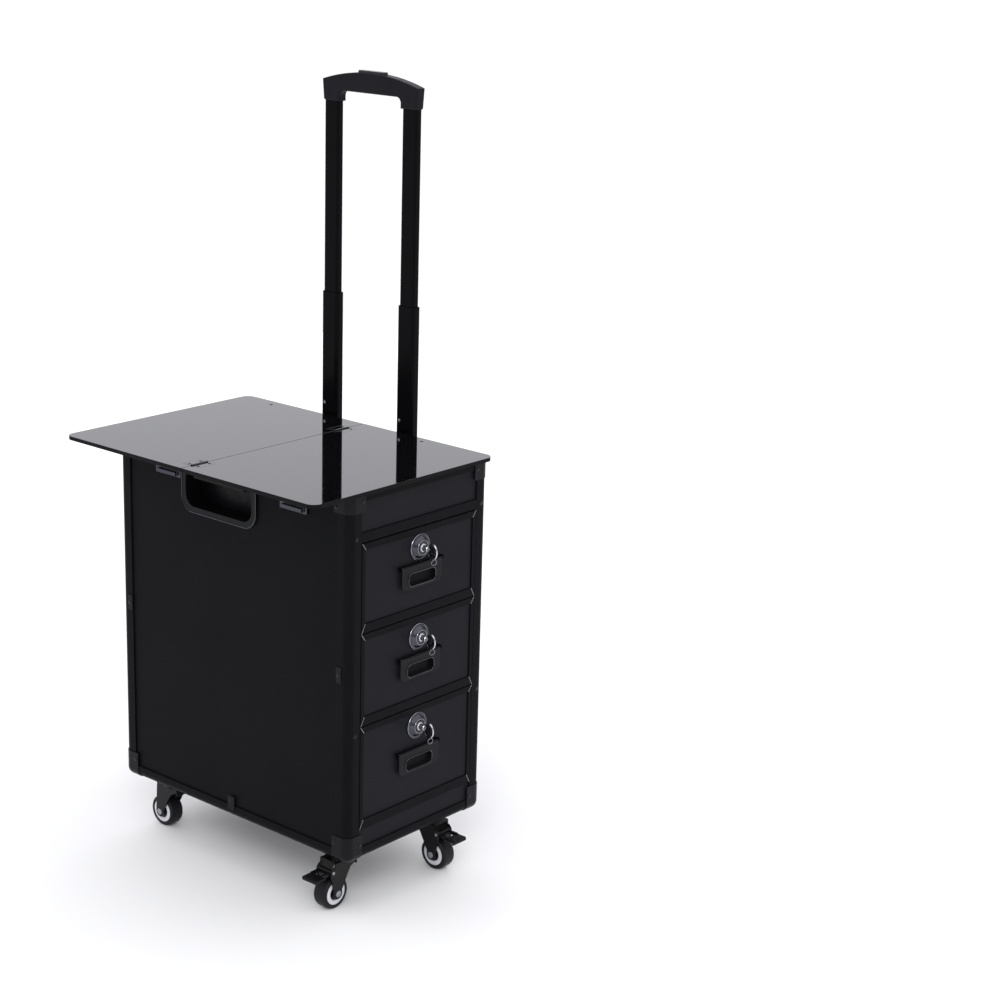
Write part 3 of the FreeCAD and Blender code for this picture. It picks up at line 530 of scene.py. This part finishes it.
for number in DRAWERS:
    KEPT += [("drawer_%d_front_panel" % number, FRONT_LIT_LAMINATE, 0.25),
             ("drawer_%d_runners" % number, MILL_ALLOY, 0.5)]
for node, material, edge in KEPT:
    stands_in(node, refined(node, edge), material)
print("softened the edges of", len(KEPT), "parts")

# %% [markdown]
# The two leaves of the top keep their shape as well, but not one finish.  The
# faces are polished and the sawn rim is matt, so every face that stands upright
# gets the second material.

# %% The leaves of the top
for node in ("table_fixed_leaf", "table_folding_leaf"):
    leaf = refined(node, 0.7)
    leaf.normal_update()
    for face in leaf.faces:
        face.material_index = int(abs(face.normal.z) < 0.5)
    stands_in(node, leaf, [TOP_GLOSS, SAWN_ACRYLIC])
rim = [face for face in bpy.data.objects["table_fixed_leaf_shown"].data.polygons
       if face.material_index]
print("the fixed leaf has", len(rim), "faces round its sawn rim")

# %% [markdown]
# Rivets hold the caps and clips to the profiles.  A rivet head is a low dome with
# a thin flange, so it is spun from a half section, and the same section is set
# down at each place.  The clips are small bent plates under the rivets.

# %% Rivets and clips
HEAD = [(0, 1.35), (1.0, 1.28), (1.9, 1.0), (2.6, 0.6), (2.9, 0.28), (3.2, 0.22), (3.2, -0.2),
        (0, -0.2)]
CAP_SKIN, CLIP_SKIN = 1.2, 1
CLIP_HEIGHT, FRONT_RIVETS = 380, (579, 289)
CASE_LOW, CASE_HIGH = rails_low.z * 1000, rails_high.z * 1000
places = []
for sx in (-1, 1):
    side = sx * (HALF_X + CAP_SKIN)
    for sy in (-1, 1):
        places += [((sx, 0, 0), side, sy * (HALF_Y - 25), CASE_LOW + 29),
                   ((sx, 0, 0), side, sy * (HALF_Y - 25), CASE_HIGH - 22),
                   ((sx, 0, 0), sx * (HALF_X + CLIP_SKIN), sy * (HALF_Y - 19), CLIP_HEIGHT),
                   ((0, sy, 0), sx * (HALF_X - 25), sy * (HALF_Y + CAP_SKIN), CASE_LOW + 24),
                   ((0, sy, 0), sx * (HALF_X - 25), sy * (HALF_Y + CAP_SKIN), CASE_HIGH - 14)]
    places.append(((sx, 0, 0), sx * (HALF_X + CLIP_SKIN), 0, CASE_LOW + 28))
    places += [((0, -1, 0), sx * (HALF_X - 14), FRONT, z) for z in FRONT_RIVETS]
heads = [aimed(turned(HEAD, 20), way, spot(x, y, z)) for way, x, y, z in places]
piece("rivet_heads", joined(heads), BLACK_ZINC, "case", ["joint_clips_and_rivets"])
clips = []
for sx in (-1, 1):
    across = sorted((sx * HALF_X, sx * (HALF_X + CLIP_SKIN)))
    clips.append(bar(across, (-7, 7), (CASE_LOW + 12, CASE_LOW + 34), 0.3))
    for sy in (-1, 1):
        along = sorted((sy * (HALF_Y - 24), sy * (HALF_Y - 14)))
        clips.append(bar(across, along, (CLIP_HEIGHT - 12, CLIP_HEIGHT + 12), 0.3))
piece("joint_clips", joined(clips), PAINTED_STEEL, "case", ["joint_clips_and_rivets"])
print("set", len(places), "rivets")

# %% [markdown]
# Each drawer front is framed by four extruded strips cut at 45 degrees and
# pressed together.  The saw leaves a line of bare aluminium at each mitre, which
# reads as a bright diagonal, so a thin sliver is laid along every joint.

# %% Mitred drawer frames
FRAME_SIDE, FRAME_TOP, FRAME_FOOT = 7.0, 9.5, 13.5


def strip(corners, y_front, y_back):
    """One mitred strip of a frame: a four-cornered face pushed back along Y."""
    mesh = bmesh.new()
    mesh.faces.new([mesh.verts.new(spot(x, y_front, z)) for x, z in corners])
    return soften(pushed(mesh, 0, y_back - y_front, 0), 0.5)


def mitre_line(x0, z0, x1, z1, y):
    """A thin bright sliver between two points of the front."""
    length = math.hypot(x1 - x0, z1 - z0)
    mesh = bmesh.new()
    bmesh.ops.create_cube(mesh, size=1)
    bmesh.ops.scale(mesh, vec=(length / 1000, 0.0005, 0.0007), verts=mesh.verts)
    turn = Matrix.Rotation(-math.atan2(z1 - z0, x1 - x0), 4, "Y")
    middle = spot((x0 + x1) / 2, y, (z0 + z1) / 2)
    return moved(mesh, Matrix.Translation(middle) @ turn)


for number in DRAWERS:
    node = "drawer_%d_front_frame" % number
    low, high = limits(node)
    left, right, foot, top = low.x, high.x, low.z, high.z
    outer = [(left, foot), (right, foot), (right, top), (left, top)]
    inner = [(left + FRAME_SIDE, foot + FRAME_FOOT), (right - FRAME_SIDE, foot + FRAME_FOOT),
             (right - FRAME_SIDE, top - FRAME_TOP), (left + FRAME_SIDE, top - FRAME_TOP)]
    strips = [strip([outer[i], outer[(i + 1) % 4], inner[(i + 1) % 4], inner[i]], low.y, high.y)
              for i in range(4)]
    stands_in(node, joined(strips), POWDER_COAT_AND_SHADE)
    lines = [mitre_line(*outer[i], *inner[i], low.y + 0.1) for i in range(4)]
    piece("drawer_%d_mitre_lines" % number, joined(lines), MILL_ALLOY, "drawer_%d" % number)
print("framed three drawers, each", round(right - left), "mm wide")

# %% [markdown]
# Behind each front sits a tray of five boards glued edge to edge: two sides, a
# front, a back and a floor.  Each board is a bar of its own, so that a thin line
# of shadow shows where two of them meet.

# %% Drawer trays
WALL, FLOOR = 6, 4
for number in DRAWERS:
    node = "drawer_%d_tray" % number
    low, high = limits(node)
    inside = (low.x + WALL, high.x - WALL)
    boards = [bar((low.x, low.x + WALL), (low.y, high.y), (low.z, high.z), 0.5),
              bar((high.x - WALL, high.x), (low.y, high.y), (low.z, high.z), 0.5),
              bar(inside, (low.y, low.y + WALL), (low.z, high.z), 0.5),
              bar(inside, (high.y - WALL, high.y), (low.z, high.z), 0.5),
              bar(inside, (low.y + WALL, high.y - WALL), (low.z, low.z + FLOOR), 0.5)]
    stands_in(node, joined(boards), TRAY_ABS)
print("each tray is", round(high.y - low.y), "mm deep")

# %% [markdown]
# A cam lock shows a polished domed collar with a barrel in the middle.  It is a
# turned part, so its half section is spun: a flat foot, the dome, a small groove
# round the barrel and the open bore that the key's plug turns in.  The foot and the
# top of the dome each carry a thin ring of lighter satin nickel, a painted highlight
# that stands in for the bright rings of light on the polished dome.

# %% Locks
COLLAR = [(6.05, -12), (9, -12), (9, 0), (20, 0), (20, 1.2), (19.2, 2.2), (17.8, 2.8), (16.8, 2.9),
          (16.2, 2.5), (15.2, 3.3), (13.6, 5.2), (11.9, 6.6), (10.7, 7.1), (9.9, 6.9), (9.4, 5.9),
          (8.9, 5.9), (8.6, 7.2), (8.1, 7.5), (6.6, 7.5), (6.05, 7.0), (6.05, -12)]
HIGHLIGHT_RIMS = ((19.2, 0.85, 1.3), (10.6, 0.7, 6.9))
for number in DRAWERS:
    node = "drawer_%d_lock" % number
    middle = centre(node)
    foot = spot(middle.x, FRONT + 1.5, middle.z)
    parts = [turned(COLLAR, 56)]
    # each ring is a painted highlight in lighter satin nickel
    for radius, wire, rise in HIGHLIGHT_RIMS:
        rim = ring(radius, wire, 56)
        bmesh.ops.translate(rim, vec=(0, 0, rise / 1000), verts=rim.verts)
        parts.append(painted(rim, 1))
    stands_in(node, aimed(joined(parts), (0, -1, 0), foot), [BLACK_NICKEL, SATIN_NICKEL_AND_HIGHLIGHT])
print("turned three lock collars")

# %% [markdown]
# The key stays in its lock.  It has a plug that fills the bore, a tubular stem, a
# flat oval bow with a satin middle and a bright rim, and a wire ring through the
# eye of the bow.  The cam behind the drawer front turns with it.

# %% Keys
BOW_STRETCH = 1.22  # the bow is a little taller than it is deep
PLUG = [(0, 0), (5.2, 0), (6, 0.6), (6, 29.5), (0, 29.5)]
STEM = [(0, 0), (4.4, 0), (4.4, 8.2), (3.8, 9), (0, 9)]
BOW = [(0, -1.0), (7.0, -1.0), (7.7, -0.7), (7.7, 0.7), (7.0, 1.0), (0, 1.0), (0, -1.0)]
BOW_RIM = [(7.6, -1.2), (9.3, -1.2), (10, -0.6), (10, 0.6), (9.3, 1.2), (7.6, 1.2), (7.6, -1.2)]


def key(lock_z):
    """Plug, stem, bow, eye, wire ring and cam of one key."""
    face = FRONT - 6.5
    bow_y, bow_z = face - 16, lock_z - 2.5
    plug = aimed(turned(PLUG, 32), (0, 1, 0), spot(0, face, lock_z))
    stem = aimed(turned(STEM, 32), (0, -1, 0), spot(0, face, lock_z))
    oval = Matrix.Translation(spot(0, bow_y, bow_z)) @ Matrix.Diagonal((1, 1, BOW_STRETCH, 1))
    bow, rim = [moved(aimed(turned(half, 36), (1, 0, 0), (0, 0, 0)), oval)
                for half in (BOW, BOW_RIM)]
    eye_y, eye_z = face - 20, bow_z - 10
    eye = aimed(ring(2.0, 0.5), (1, 0, 0), spot(0, eye_y, eye_z))
    wire = aimed(ring(4.2, 0.45), (0.3, 1, 0.12), spot(0, eye_y, eye_z - 5.0))
    cam = bar((-7, 33), (FRONT + 23, FRONT + 25), (lock_z - 6, lock_z + 6), 0.5)
    return joined([painted(part, 0) for part in (plug, stem, rim, cam)]
                  + [painted(part, 1) for part in (bow, eye, wire)])


for number in DRAWERS:
    lock_z = centre("drawer_%d_lock" % number).z
    stands_in("drawer_%d_key" % number, key(lock_z), [BRIGHT_NICKEL, SATIN_NICKEL_AND_HIGHLIGHT])
print("cut three keys")

# %% [markdown]
# A drawer pull is a flap of pressed steel that hangs from a pin.  The press
# rounds its lower corners, cuts a wide slot for the fingertips and rolls a lip
# round the slot.  Two rounded loops are bridged into a plate with a hole, and a
# wire-like lip is swept round the inner loop as a row of narrowing bands.  The lip
# is given a lighter satin nickel than the plate, a painted highlight along its edge.

# %% Pulls
SLOT_WIDE, SLOT_TALL, SLOT_RADIUS, SLOT_MIDDLE = 56, 19, 7, (0, -4)
LIP_BANDS = [(1.4, 1.2), (1.2, 2.4), (0.3, 3.0), (-0.6, 2.4), (-0.8, 0.6)]


def pull(node):
    """A flap with rounded lower corners, a finger slot and a rolled lip."""
    low, high = limits(node)
    wide, tall = high.x - low.x, high.z - low.z
    plate = bmesh.new()
    outer = loop(plate, wide, tall, (9, 9, 1.5, 1.5))
    inner = loop(plate, SLOT_WIDE, SLOT_TALL, (SLOT_RADIUS,) * 4, middle=SLOT_MIDDLE)
    bmesh.ops.bridge_loops(plate, edges=outer + inner)
    soften(pushed(plate, 0, 0, 1.6), 0.45)
    # the lip's lighter nickel is a painted highlight along the rolled edge
    rolled = lip(SLOT_WIDE, SLOT_TALL, SLOT_RADIUS, LIP_BANDS, middle=SLOT_MIDDLE)
    knuckle = aimed(turned(rod(2.4, 0, wide), 20), (1, 0, 0),
                    Vector((-wide / 2, tall / 2 - 2.3, 0.6)) / 1000)
    whole = joined([painted(plate, 0), painted(knuckle, 0), painted(rolled, 1)])
    middle = centre(node)
    return aimed(whole, (0, -1, 0), spot(middle.x, high.y - 0.4, middle.z))


for number in DRAWERS:
    node = "drawer_%d_pull" % number
    stands_in(node, pull(node), [PAINTED_STEEL, DARK_NICKEL_AND_HIGHLIGHT])
print("pressed three pulls")

# %% [markdown]
# Each pull hangs from a pin between two small ears.  The ears are round washers
# bent forward from a strip that is screwed under the flap, so they are turned
# discs on a thin bar.  A thin dark strip on the front under the slot is painted
# shade: it stands in for the shadow inside the slot and makes the slot look deep.

# %% Pull brackets
EAR = [(0, 0), (2.9, 0), (3.3, 0.4), (3.3, 1.4), (2.9, 1.8), (0, 1.8)]
EAR_AT, EAR_END, PIN_REACH = 42.7, 44.5, 44
for number in DRAWERS:
    node = "drawer_%d_pull_bracket" % number
    low, high = limits(node)
    pin_z, pin_y = high.z - 4.5, FRONT - 4.2
    parts = [bar((-44.6, 44.6), (FRONT - 0.4, FRONT + 1.5), (low.z, high.z - 1.6), 0.6),
             # a dark strip under the slot: painted shade standing in for the shadow inside the slot
             painted(bar((-32, 32), (FRONT + 1.1, FRONT + 1.6), (low.z - 28, low.z - 1), 0.1), 1),
             aimed(turned(rod(1.5, -PIN_REACH, PIN_REACH), 20), (1, 0, 0), spot(0, pin_y, pin_z))]
    for side in (-1, 1):
        parts.append(aimed(turned(EAR, 24), (side, 0, 0), spot(side * EAR_AT, pin_y, pin_z)))
        across = sorted((side * EAR_AT, side * EAR_END))
        parts.append(bar(across, (pin_y, FRONT + 0.5), (pin_z - 3.3, pin_z + 3.3), 0.3))
    stands_in(node, joined(parts), [PAINTED_STEEL, POWDER_COAT_AND_SHADE])
print("bent three brackets")

# %% [markdown]
# The carry handle is a pressed cup with a flat rim.  A thin bead of lighter nickel
# runs round its edge as a painted highlight, the bright line of light along the
# rim.  It is made like the lip of a pull: a few rounded loops, each bridged to the
# next, round the outline of the rim.

# %% The highlight bead round the carry cup
CUP_RADIUS = 23
HIGHLIGHT_BEAD_BANDS = [(0.9, -0.6), (0.8, 0.5), (0, 0.9), (-0.8, 0.5), (-0.9, -0.6)]
UPRIGHT = Matrix(((0, 0, -1, 0), (-1, 0, 0, 0), (0, 1, 0, 0), (0, 0, 0, 1)))
cup_low, cup_high = limits("carry_handle_cup")
wide, tall = cup_high.y - cup_low.y - 2, cup_high.z - cup_low.z - 2
middle = centre("carry_handle_cup")
# the bead's lighter nickel is a painted highlight, the bright line along the rim
bead = moved(lip(wide, tall, CUP_RADIUS, HIGHLIGHT_BEAD_BANDS, segments=8),
             Matrix.Translation(spot(cup_low.x, middle.y, middle.z)) @ UPRIGHT)
piece("carry_cup_highlight_bead", bead, DARK_NICKEL_AND_HIGHLIGHT, "case")
print("rolled a bead", round(wide), "by", round(tall), "mm")

# %% [markdown]
# The folding top turns on two small hinges let into the board.  Each hinge is held
# by four countersunk screws, and one more screw sits in each half of the board.
# The heads stand only a fraction of a millimetre proud, or the halves could not
# lie flat on each other when the top is folded.

# %% Table screws
FLUSH = [(0, 0.02), (0.7, 0.02), (0.95, 0.22), (2.1, 0.2), (2.6, 0.02), (2.6, -0.9), (0, -0.9)]
HINGES_AT, SCREW_HALF_PITCH, SCREW_SETBACK = (-197, 88), 10.5, 9
TOP_FACE = limits("table_fixed_leaf")[1].z
SEAM = (limits("table_fixed_leaf")[1].y + limits("table_folding_leaf")[0].y) / 2
for sign, body, lone in ((-1, "case", (122, -129)), (1, "folding_leaf", (118, 187))):
    spots = [lone] + [(hinge + along, SEAM + sign * SCREW_SETBACK) for hinge in HINGES_AT
                      for along in (-SCREW_HALF_PITCH, SCREW_HALF_PITCH)]
    heads = [aimed(turned(FLUSH, 20), (0, 0, 1), spot(x, y, TOP_FACE)) for x, y in spots]
    piece("table_screws_" + body, joined(heads), POWDER_COAT_AND_SHADE, body)
print("the top is at", round(TOP_FACE, 1), "mm and its seam at", round(SEAM, 1), "mm")

# %% [markdown]
# The grip is a moulded crossbar.  Its outline already has the arch, the two legs
# that wrap the tubes and the pocket for the release button, but a moulding has
# generous radii where a hand goes.  The long outer edges get a wide round, the
# edges of the pocket and of the sockets a small one, and the legs a slight waist.
# A spring catch shows as a small bright dome on each middle tube.

# %% Grip, button and tube catches


def rounded_grip():
    """A copy of the grip, rounded wide outside and little inside, with a slight waist."""
    low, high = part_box("handle_grip")
    mesh = merged("handle_grip")
    outer = [e for e in mesh.edges if len(e.link_faces) == 2 and e.calc_face_angle() > 0.7
             and all(min(v.co.x - low.x, high.x - v.co.x) < 1e-5 for v in e.verts)
             and abs(e.verts[0].co.x - e.verts[1].co.x) < 1e-5]
    bmesh.ops.bevel(mesh, geom=outer, offset=0.0026, offset_type="OFFSET", segments=5, profile=0.5,
                    affect="EDGES", clamp_overlap=True, material=-1)
    middle, waist = (low + high) / 2, 0.032
    for vert in mesh.verts:
        short = max(0.0, 1 - (vert.co.z - low.z) / waist)
        vert.co.y = middle.y + (vert.co.y - middle.y) * (1 - 0.022 * short)
        vert.co.x = middle.x + (vert.co.x - middle.x) * (1 - 0.1 * short)
    return soften(mesh, 0.35, 2, 50)


stands_in("handle_grip", rounded_grip(), GRIP_ABS)
stands_in("release_button", refined("release_button", 1.3, 4), BUTTON_ABS)
CATCH = [(0, 0.25), (1.6, 0.22), (2.5, 0.05), (2.5, -0.6), (0, -0.6)]
TUBE_HALF_PITCH, CATCH_OFFSET, CATCH_HEIGHT = 79, 9, 667
tube_face, tubes_y = limits("middle_handle_tubes")[0].x, centre("middle_handle_tubes").y
catches = [aimed(turned(CATCH, 20), (-1, 0, 0),
                 spot(tube_face, tubes_y + sign * TUBE_HALF_PITCH + CATCH_OFFSET, CATCH_HEIGHT))
           for sign in (-1, 1)]
piece("tube_catches", joined(catches), BRIGHT_NICKEL, "middle_tubes")
print("the grip is", round(limits("handle_grip")[1].y * 2), "mm long")

# %% [markdown]
# A caster is easiest to draw pointing one way.  Every part below is made with its
# wheel trailing along +X under a swivel at the origin, then turned to the way that
# caster points and set under its corner of the case.

# %% Where the casters stand
TRAIL, WHEEL = 26.0, 25.0
INSET_X, INSET_Y = 54, 60
CASTERS = {"front_left": (-1, -1, math.pi), "front_right": (1, -1, -math.pi / 2),
           "rear_left": (-1, 1, math.pi / 2), "rear_right": (1, 1, math.pi / 2)}


def under_corner(mesh, corner):
    """Turns a caster part to its heading and moves it under its corner."""
    sx, sy, heading = CASTERS[corner]
    home = spot(sx * (HALF_X - INSET_X), sy * (HALF_Y - INSET_Y), 0)
    return moved(mesh, Matrix.Translation(home) @ Matrix.Rotation(heading, 4, "Z"))


def box_at(x, y, z, edge=0.4):
    """A softened box in the caster's own millimetres."""
    mesh = bar(x, y, z, edge)
    bmesh.ops.translate(mesh, vec=(-MIDDLE.x, -MIDDLE.y, 0), verts=mesh.verts)
    return mesh


def lathe(section, way, x, y, z, steps=36):
    """A turned part in the caster's own millimetres."""
    return aimed(turned(section, steps), way, Vector((x, y, z)) / 1000)


print("casters stand", round(HALF_X - INSET_X), "and", round(HALF_Y - INSET_Y), "mm off centre")

# %% [markdown]
# The wheel has a black tread moulded over a pale ring, with a recessed black web
# and a boss at the axle.  Three sections are spun about the axle, one for each
# material, so that each edge between them is a true circle.

# %% Wheels
TYRE = [(17.6, -11), (18.6, -11.3), (20.2, -12), (22.4, -11.6), (24.2, -10.0), (25, -7.4),
        (25, 7.4), (24.2, 10.0), (22.4, 11.6), (20.2, 12), (18.6, 11.3), (17.6, 11), (17.6, -11)]
RING = [(11.2, -10.8), (12.0, -11.6), (17.2, -11.6), (18.3, -11.0), (18.3, 11.0), (17.2, 11.6),
        (12.0, 11.6), (11.2, 10.8), (11.2, -10.8)]
WEB = [(3.05, -11.9), (5.4, -11.9), (6.2, -9.6), (11.5, -9.0), (11.5, 9.0), (6.2, 9.6), (5.4, 11.9),
       (3.05, 11.9), (3.05, -11.9)]
for corner in CASTERS:
    node = corner + "_caster_wheel"
    parts = [painted(lathe(section, (0, 1, 0), TRAIL, 0, WHEEL, 64), index)
             for index, section in enumerate((TYRE, RING, WEB))]
    stands_in(node, under_corner(joined(parts), corner), [TREAD, PALE_NYLON, PEDAL_NYLON])
print("turned four wheels of", 2 * WHEEL, "mm")

# %% [markdown]
# The fork is bent from sheet steel: a crown with two tapering legs that end round
# the axle.  Each leg starts as an outline of a few points, its lower corners are
# rounded by a vertex bevel, and it is pushed out to the thickness of the sheet.

# %% Forks
SHEET, LEG_IN, NUT_AT = 2.5, 13.5, 15.9
PIVOT_X, PIVOT_Z = TRAIL + 10, 61
CROWN = [(0, 73.5), (20.4, 73.5), (21, 74.1), (21, 75.4), (20.4, 76), (0, 76)]
NUT = [(0, 0), (5.4, 0), (5.4, 1.1), (4.4, 1.7), (2.4, 2.0), (0, 2.0)]
PIN_HEAD = [(0, 0), (2.6, 0), (2.4, 0.8), (0, 1.1)]


def leg(side, braked):
    """One tapering leg of a fork, in the caster's own millimetres."""
    outline = [(-14, 76), (-14, 68), (1, 60), (TRAIL - 8.5, 30), (TRAIL - 8.5, 16.5),
               (TRAIL + 8.5, 16.5), (TRAIL + 8.5, 32)]
    outline += [(TRAIL + 14, 56), (TRAIL + 14, 66.5), (32, 69)] if braked else [(33, 62)]
    outline.append((32, 76))
    mesh = bmesh.new()
    points = [mesh.verts.new((x / 1000, side * LEG_IN / 1000, z / 1000)) for x, z in outline]
    mesh.faces.new(points)
    ends = [points[4], points[5]] + ([points[8]] if braked else [])
    bmesh.ops.bevel(mesh, geom=ends, offset=0.0075, offset_type="OFFSET", segments=6, profile=0.5,
                    affect="VERTICES", clamp_overlap=True, material=-1)
    return soften(pushed(mesh, 0, side * SHEET, 0), 0.5)


def fork(braked):
    """Crown, legs, kingpin and axle with its nuts."""
    parts = [box_at((-14, 32), (-16, 16), (73.5, 76), 0.5),
             lathe(CROWN, (0, 0, 1), 0, 0, 0),
             lathe(rod(5, 75, 91), (0, 0, 1), 0, 0, 0),
             lathe(rod(2.95, -16, 16), (0, 1, 0), TRAIL, 0, WHEEL),
             box_at((-14, -11.5), (-15.5, 15.5), (61, 75), 1.0)]
    for side in (-1, 1):
        parts.append(leg(side, braked))
        parts.append(painted(lathe(NUT, (0, side, 0), TRAIL, side * NUT_AT, WHEEL, 6), 1))
    if braked:
        parts.append(lathe(rod(1.45, -16, 16), (0, 1, 0), PIVOT_X, 0, PIVOT_Z, 16))
        parts += [painted(lathe(PIN_HEAD, (0, side, 0), PIVOT_X, side * NUT_AT, PIVOT_Z, 20), 1)
                  for side in (-1, 1)]
    return joined(parts)


for corner in CASTERS:
    node = corner + "_caster_fork"
    stands_in(node, under_corner(fork(corner.startswith("front")), corner),
              [FORK_FINISH, ZINC_PLATE])
print("bent four forks")

# %% [markdown]
# The foot brake is a moulded pedal that turns on a pin through the fork.  Its tread
# plate carries ribs for a shoe to grip, and a small block under the pivot presses
# on the wheel when the pedal is pushed down.

# %% Brake pedals
HUB = [(1.55, -13), (3.6, -13), (4, -12.6), (4, 12.6), (3.6, 13), (1.55, 13), (1.55, -13)]
RIBS, RIB_PITCH = 5, 3.2


def pedal():
    """Hub, arms, ribbed plate, web and shoe of a foot brake."""
    parts = [lathe(HUB, (0, 1, 0), PIVOT_X, 0, PIVOT_Z, 28),
             box_at((TRAIL + 25, TRAIL + 44), (-15, 15), (56, 59), 1.2),
             box_at((TRAIL + 40.5, TRAIL + 44), (-15, 15), (53.2, 58.2), 1.2),
             box_at((PIVOT_X + 2, TRAIL + 18), (-9, 9), (56, 60.5), 0.6),
             box_at((TRAIL + 13, TRAIL + 18), (-6, 6), (48, 57), 0.8)]
    parts += [box_at((PIVOT_X, TRAIL + 30), sorted((side * 8.5, side * 12)), (56, 62), 0.7)
              for side in (-1, 1)]
    starts = [TRAIL + 28 + RIB_PITCH * rib for rib in range(RIBS)]
    parts += [box_at((x, x + 1.4), (-13, 13), (58.4, 60), 0.4) for x in starts]
    parts += [box_at((TRAIL + 43, TRAIL + 44.6), (y - 1, y + 1), (53.8, 58.4), 0.4)
              for y in (-12, -8, -4, 0, 4, 8, 12)]
    return joined(parts)


for corner in ("front_left", "front_right"):
    node = corner + "_brake_pedal"
    stands_in(node, under_corner(pedal(), corner), PEDAL_NYLON)
print("moulded two pedals")

# %% [markdown]
# Above each fork sits the ball race, two pressed cups that trap a ring of balls,
# under a square plate with four screws.  The cups are spun with the groove that
# shows between them.

# %% Ball races and plates
RACE = [(5.1, 76.7), (12, 76.7), (15.2, 77.2), (16.4, 78.4), (16.8, 82), (16, 83.4), (15.6, 84.6),
        (16.4, 85.4), (17.6, 86.2), (18, 88), (18, 91), (17.4, 94), (5.1, 94), (5.1, 76.7)]
PLATE_SCREW = [(0, -1.2), (2.2, -1.0), (3, 0), (3, 0.6), (0, 0.6)]
races = []
for corner in CASTERS:
    parts = [painted(lathe(RACE, (0, 0, 1), 0, 0, 0, 48), 1),
             box_at((-24, 24), (-24, 24), (94, 97), 0.5)]
    parts += [painted(lathe(PLATE_SCREW, (0, 0, 1), x, y, 94, 20), 1)
              for x in (-19, 19) for y in (-19, 19)]
    races.append(under_corner(joined(parts), corner))
stands_in("caster_plates", joined(races), [FORK_FINISH, ZINC_PLATE])
print("set four ball races")

# %% [markdown]
# The object stands on a wide floor of matt white paint.  The paint varies by a
# shade or two, as a rolled coat does.

# %% The floor
floor_mesh = bmesh.new()
bmesh.ops.create_circle(floor_mesh, cap_ends=True, segments=128, radius=40)
floor_data = bpy.data.meshes.new("floor")
floor_mesh.to_mesh(floor_data)
floor_mesh.free()
floor = bpy.data.objects.new("floor", floor_data)
bpy.context.scene.collection.objects.link(floor)
floor_paint, tree, shader, place = start_material("matt_white_paint", Roughness=0.9,
                                                  Specular_IOR_Level=0.1)
speckle = pattern(tree, "ShaderNodeTexNoise", place, 4, {"Detail": 2.0})
tint(tree, shader, speckle.outputs["Fac"], "#ECECEC", "#EFEFEF")
floor_data.materials.append(floor_paint)
floor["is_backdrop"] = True
print("the floor is", round(floor.dimensions.x), "m across")

# %% [markdown]
# A pale sky fills the shadows, and a very wide overhead sun keeps the floor white
# with a soft shadow.  A large card behind the object gives the polished top
# something pale to reflect, and a smaller lamp lights the near side.

# %% Sky and lights
world = bpy.data.worlds.new("studio")
world.use_nodes = True
world.node_tree.nodes["Background"].inputs["Color"].default_value = linear("#F1F1F8")
world.node_tree.nodes["Background"].inputs["Strength"].default_value = 0.68
bpy.context.scene.world = world
bpy.context.scene.view_settings.view_transform = "Standard"

TARGET = spot(0, 0, 420)


def light(name, kind, place, power, **settings):
    """A light set down at a place and aimed at the case."""
    data = bpy.data.lights.new(name, kind)
    data.energy = power
    for key, value in settings.items():
        setattr(data, key, value)
    made = bpy.data.objects.new(name, data)
    made.matrix_world = (Matrix.Translation(place)
                         @ (place - TARGET).to_track_quat("Z", "Y").to_matrix().to_4x4())
    made.visible_camera = False
    bpy.context.scene.collection.objects.link(made)
    return made


light("overhead", "SUN", spot(-300, -400, 5000), 2.0, angle=2.2)
light("back_card", "AREA", spot(2700, 2300, 1300), 33, shape="RECTANGLE", size=6, size_y=3,
      color=(0.93, 0.93, 1.0))
light("key", "AREA", spot(-2600, -2300, 2600), 45, shape="RECTANGLE", size=1.3, size_y=1.3)

# %% [markdown]
# The camera stands off the near left corner of the case, about 0.8 m above the
# top, and looks down by sixteen degrees through a long lens.

# %% Camera
YAW, PITCH, ROLL = math.radians(-50.05), math.radians(16.19), math.radians(1.68)
FOCAL_MM = 77.3
back = Vector((math.sin(YAW) * math.cos(PITCH), -math.cos(YAW) * math.cos(PITCH), math.sin(PITCH)))
across = (-back).cross(Vector((0, 0, 1))).normalized()
upward = across.cross(-back)
right_hand = math.cos(ROLL) * across + math.sin(ROLL) * upward
head = math.cos(ROLL) * upward - math.sin(ROLL) * across
lens = bpy.data.cameras.new("camera")
lens.lens, lens.sensor_width, lens.clip_end = FOCAL_MM, 36, 200
camera = bpy.data.objects.new("camera", lens)
turn = Matrix((right_hand, head, back)).transposed().to_4x4()
camera.matrix_world = Matrix.Translation(spot(-2159.7, -2194.9, 1458.3)) @ turn
bpy.context.scene.collection.objects.link(camera)
bpy.context.scene.camera = camera
print("the camera is", round((camera.matrix_world.translation - TARGET).length, 2), "m away")

# %% [markdown]
# Last, the size of the box round the finished pieces is printed.

# %% The size of the dressed object
low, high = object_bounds()
print("the dressed object is", [round(v, 3) for v in high - low], "m")
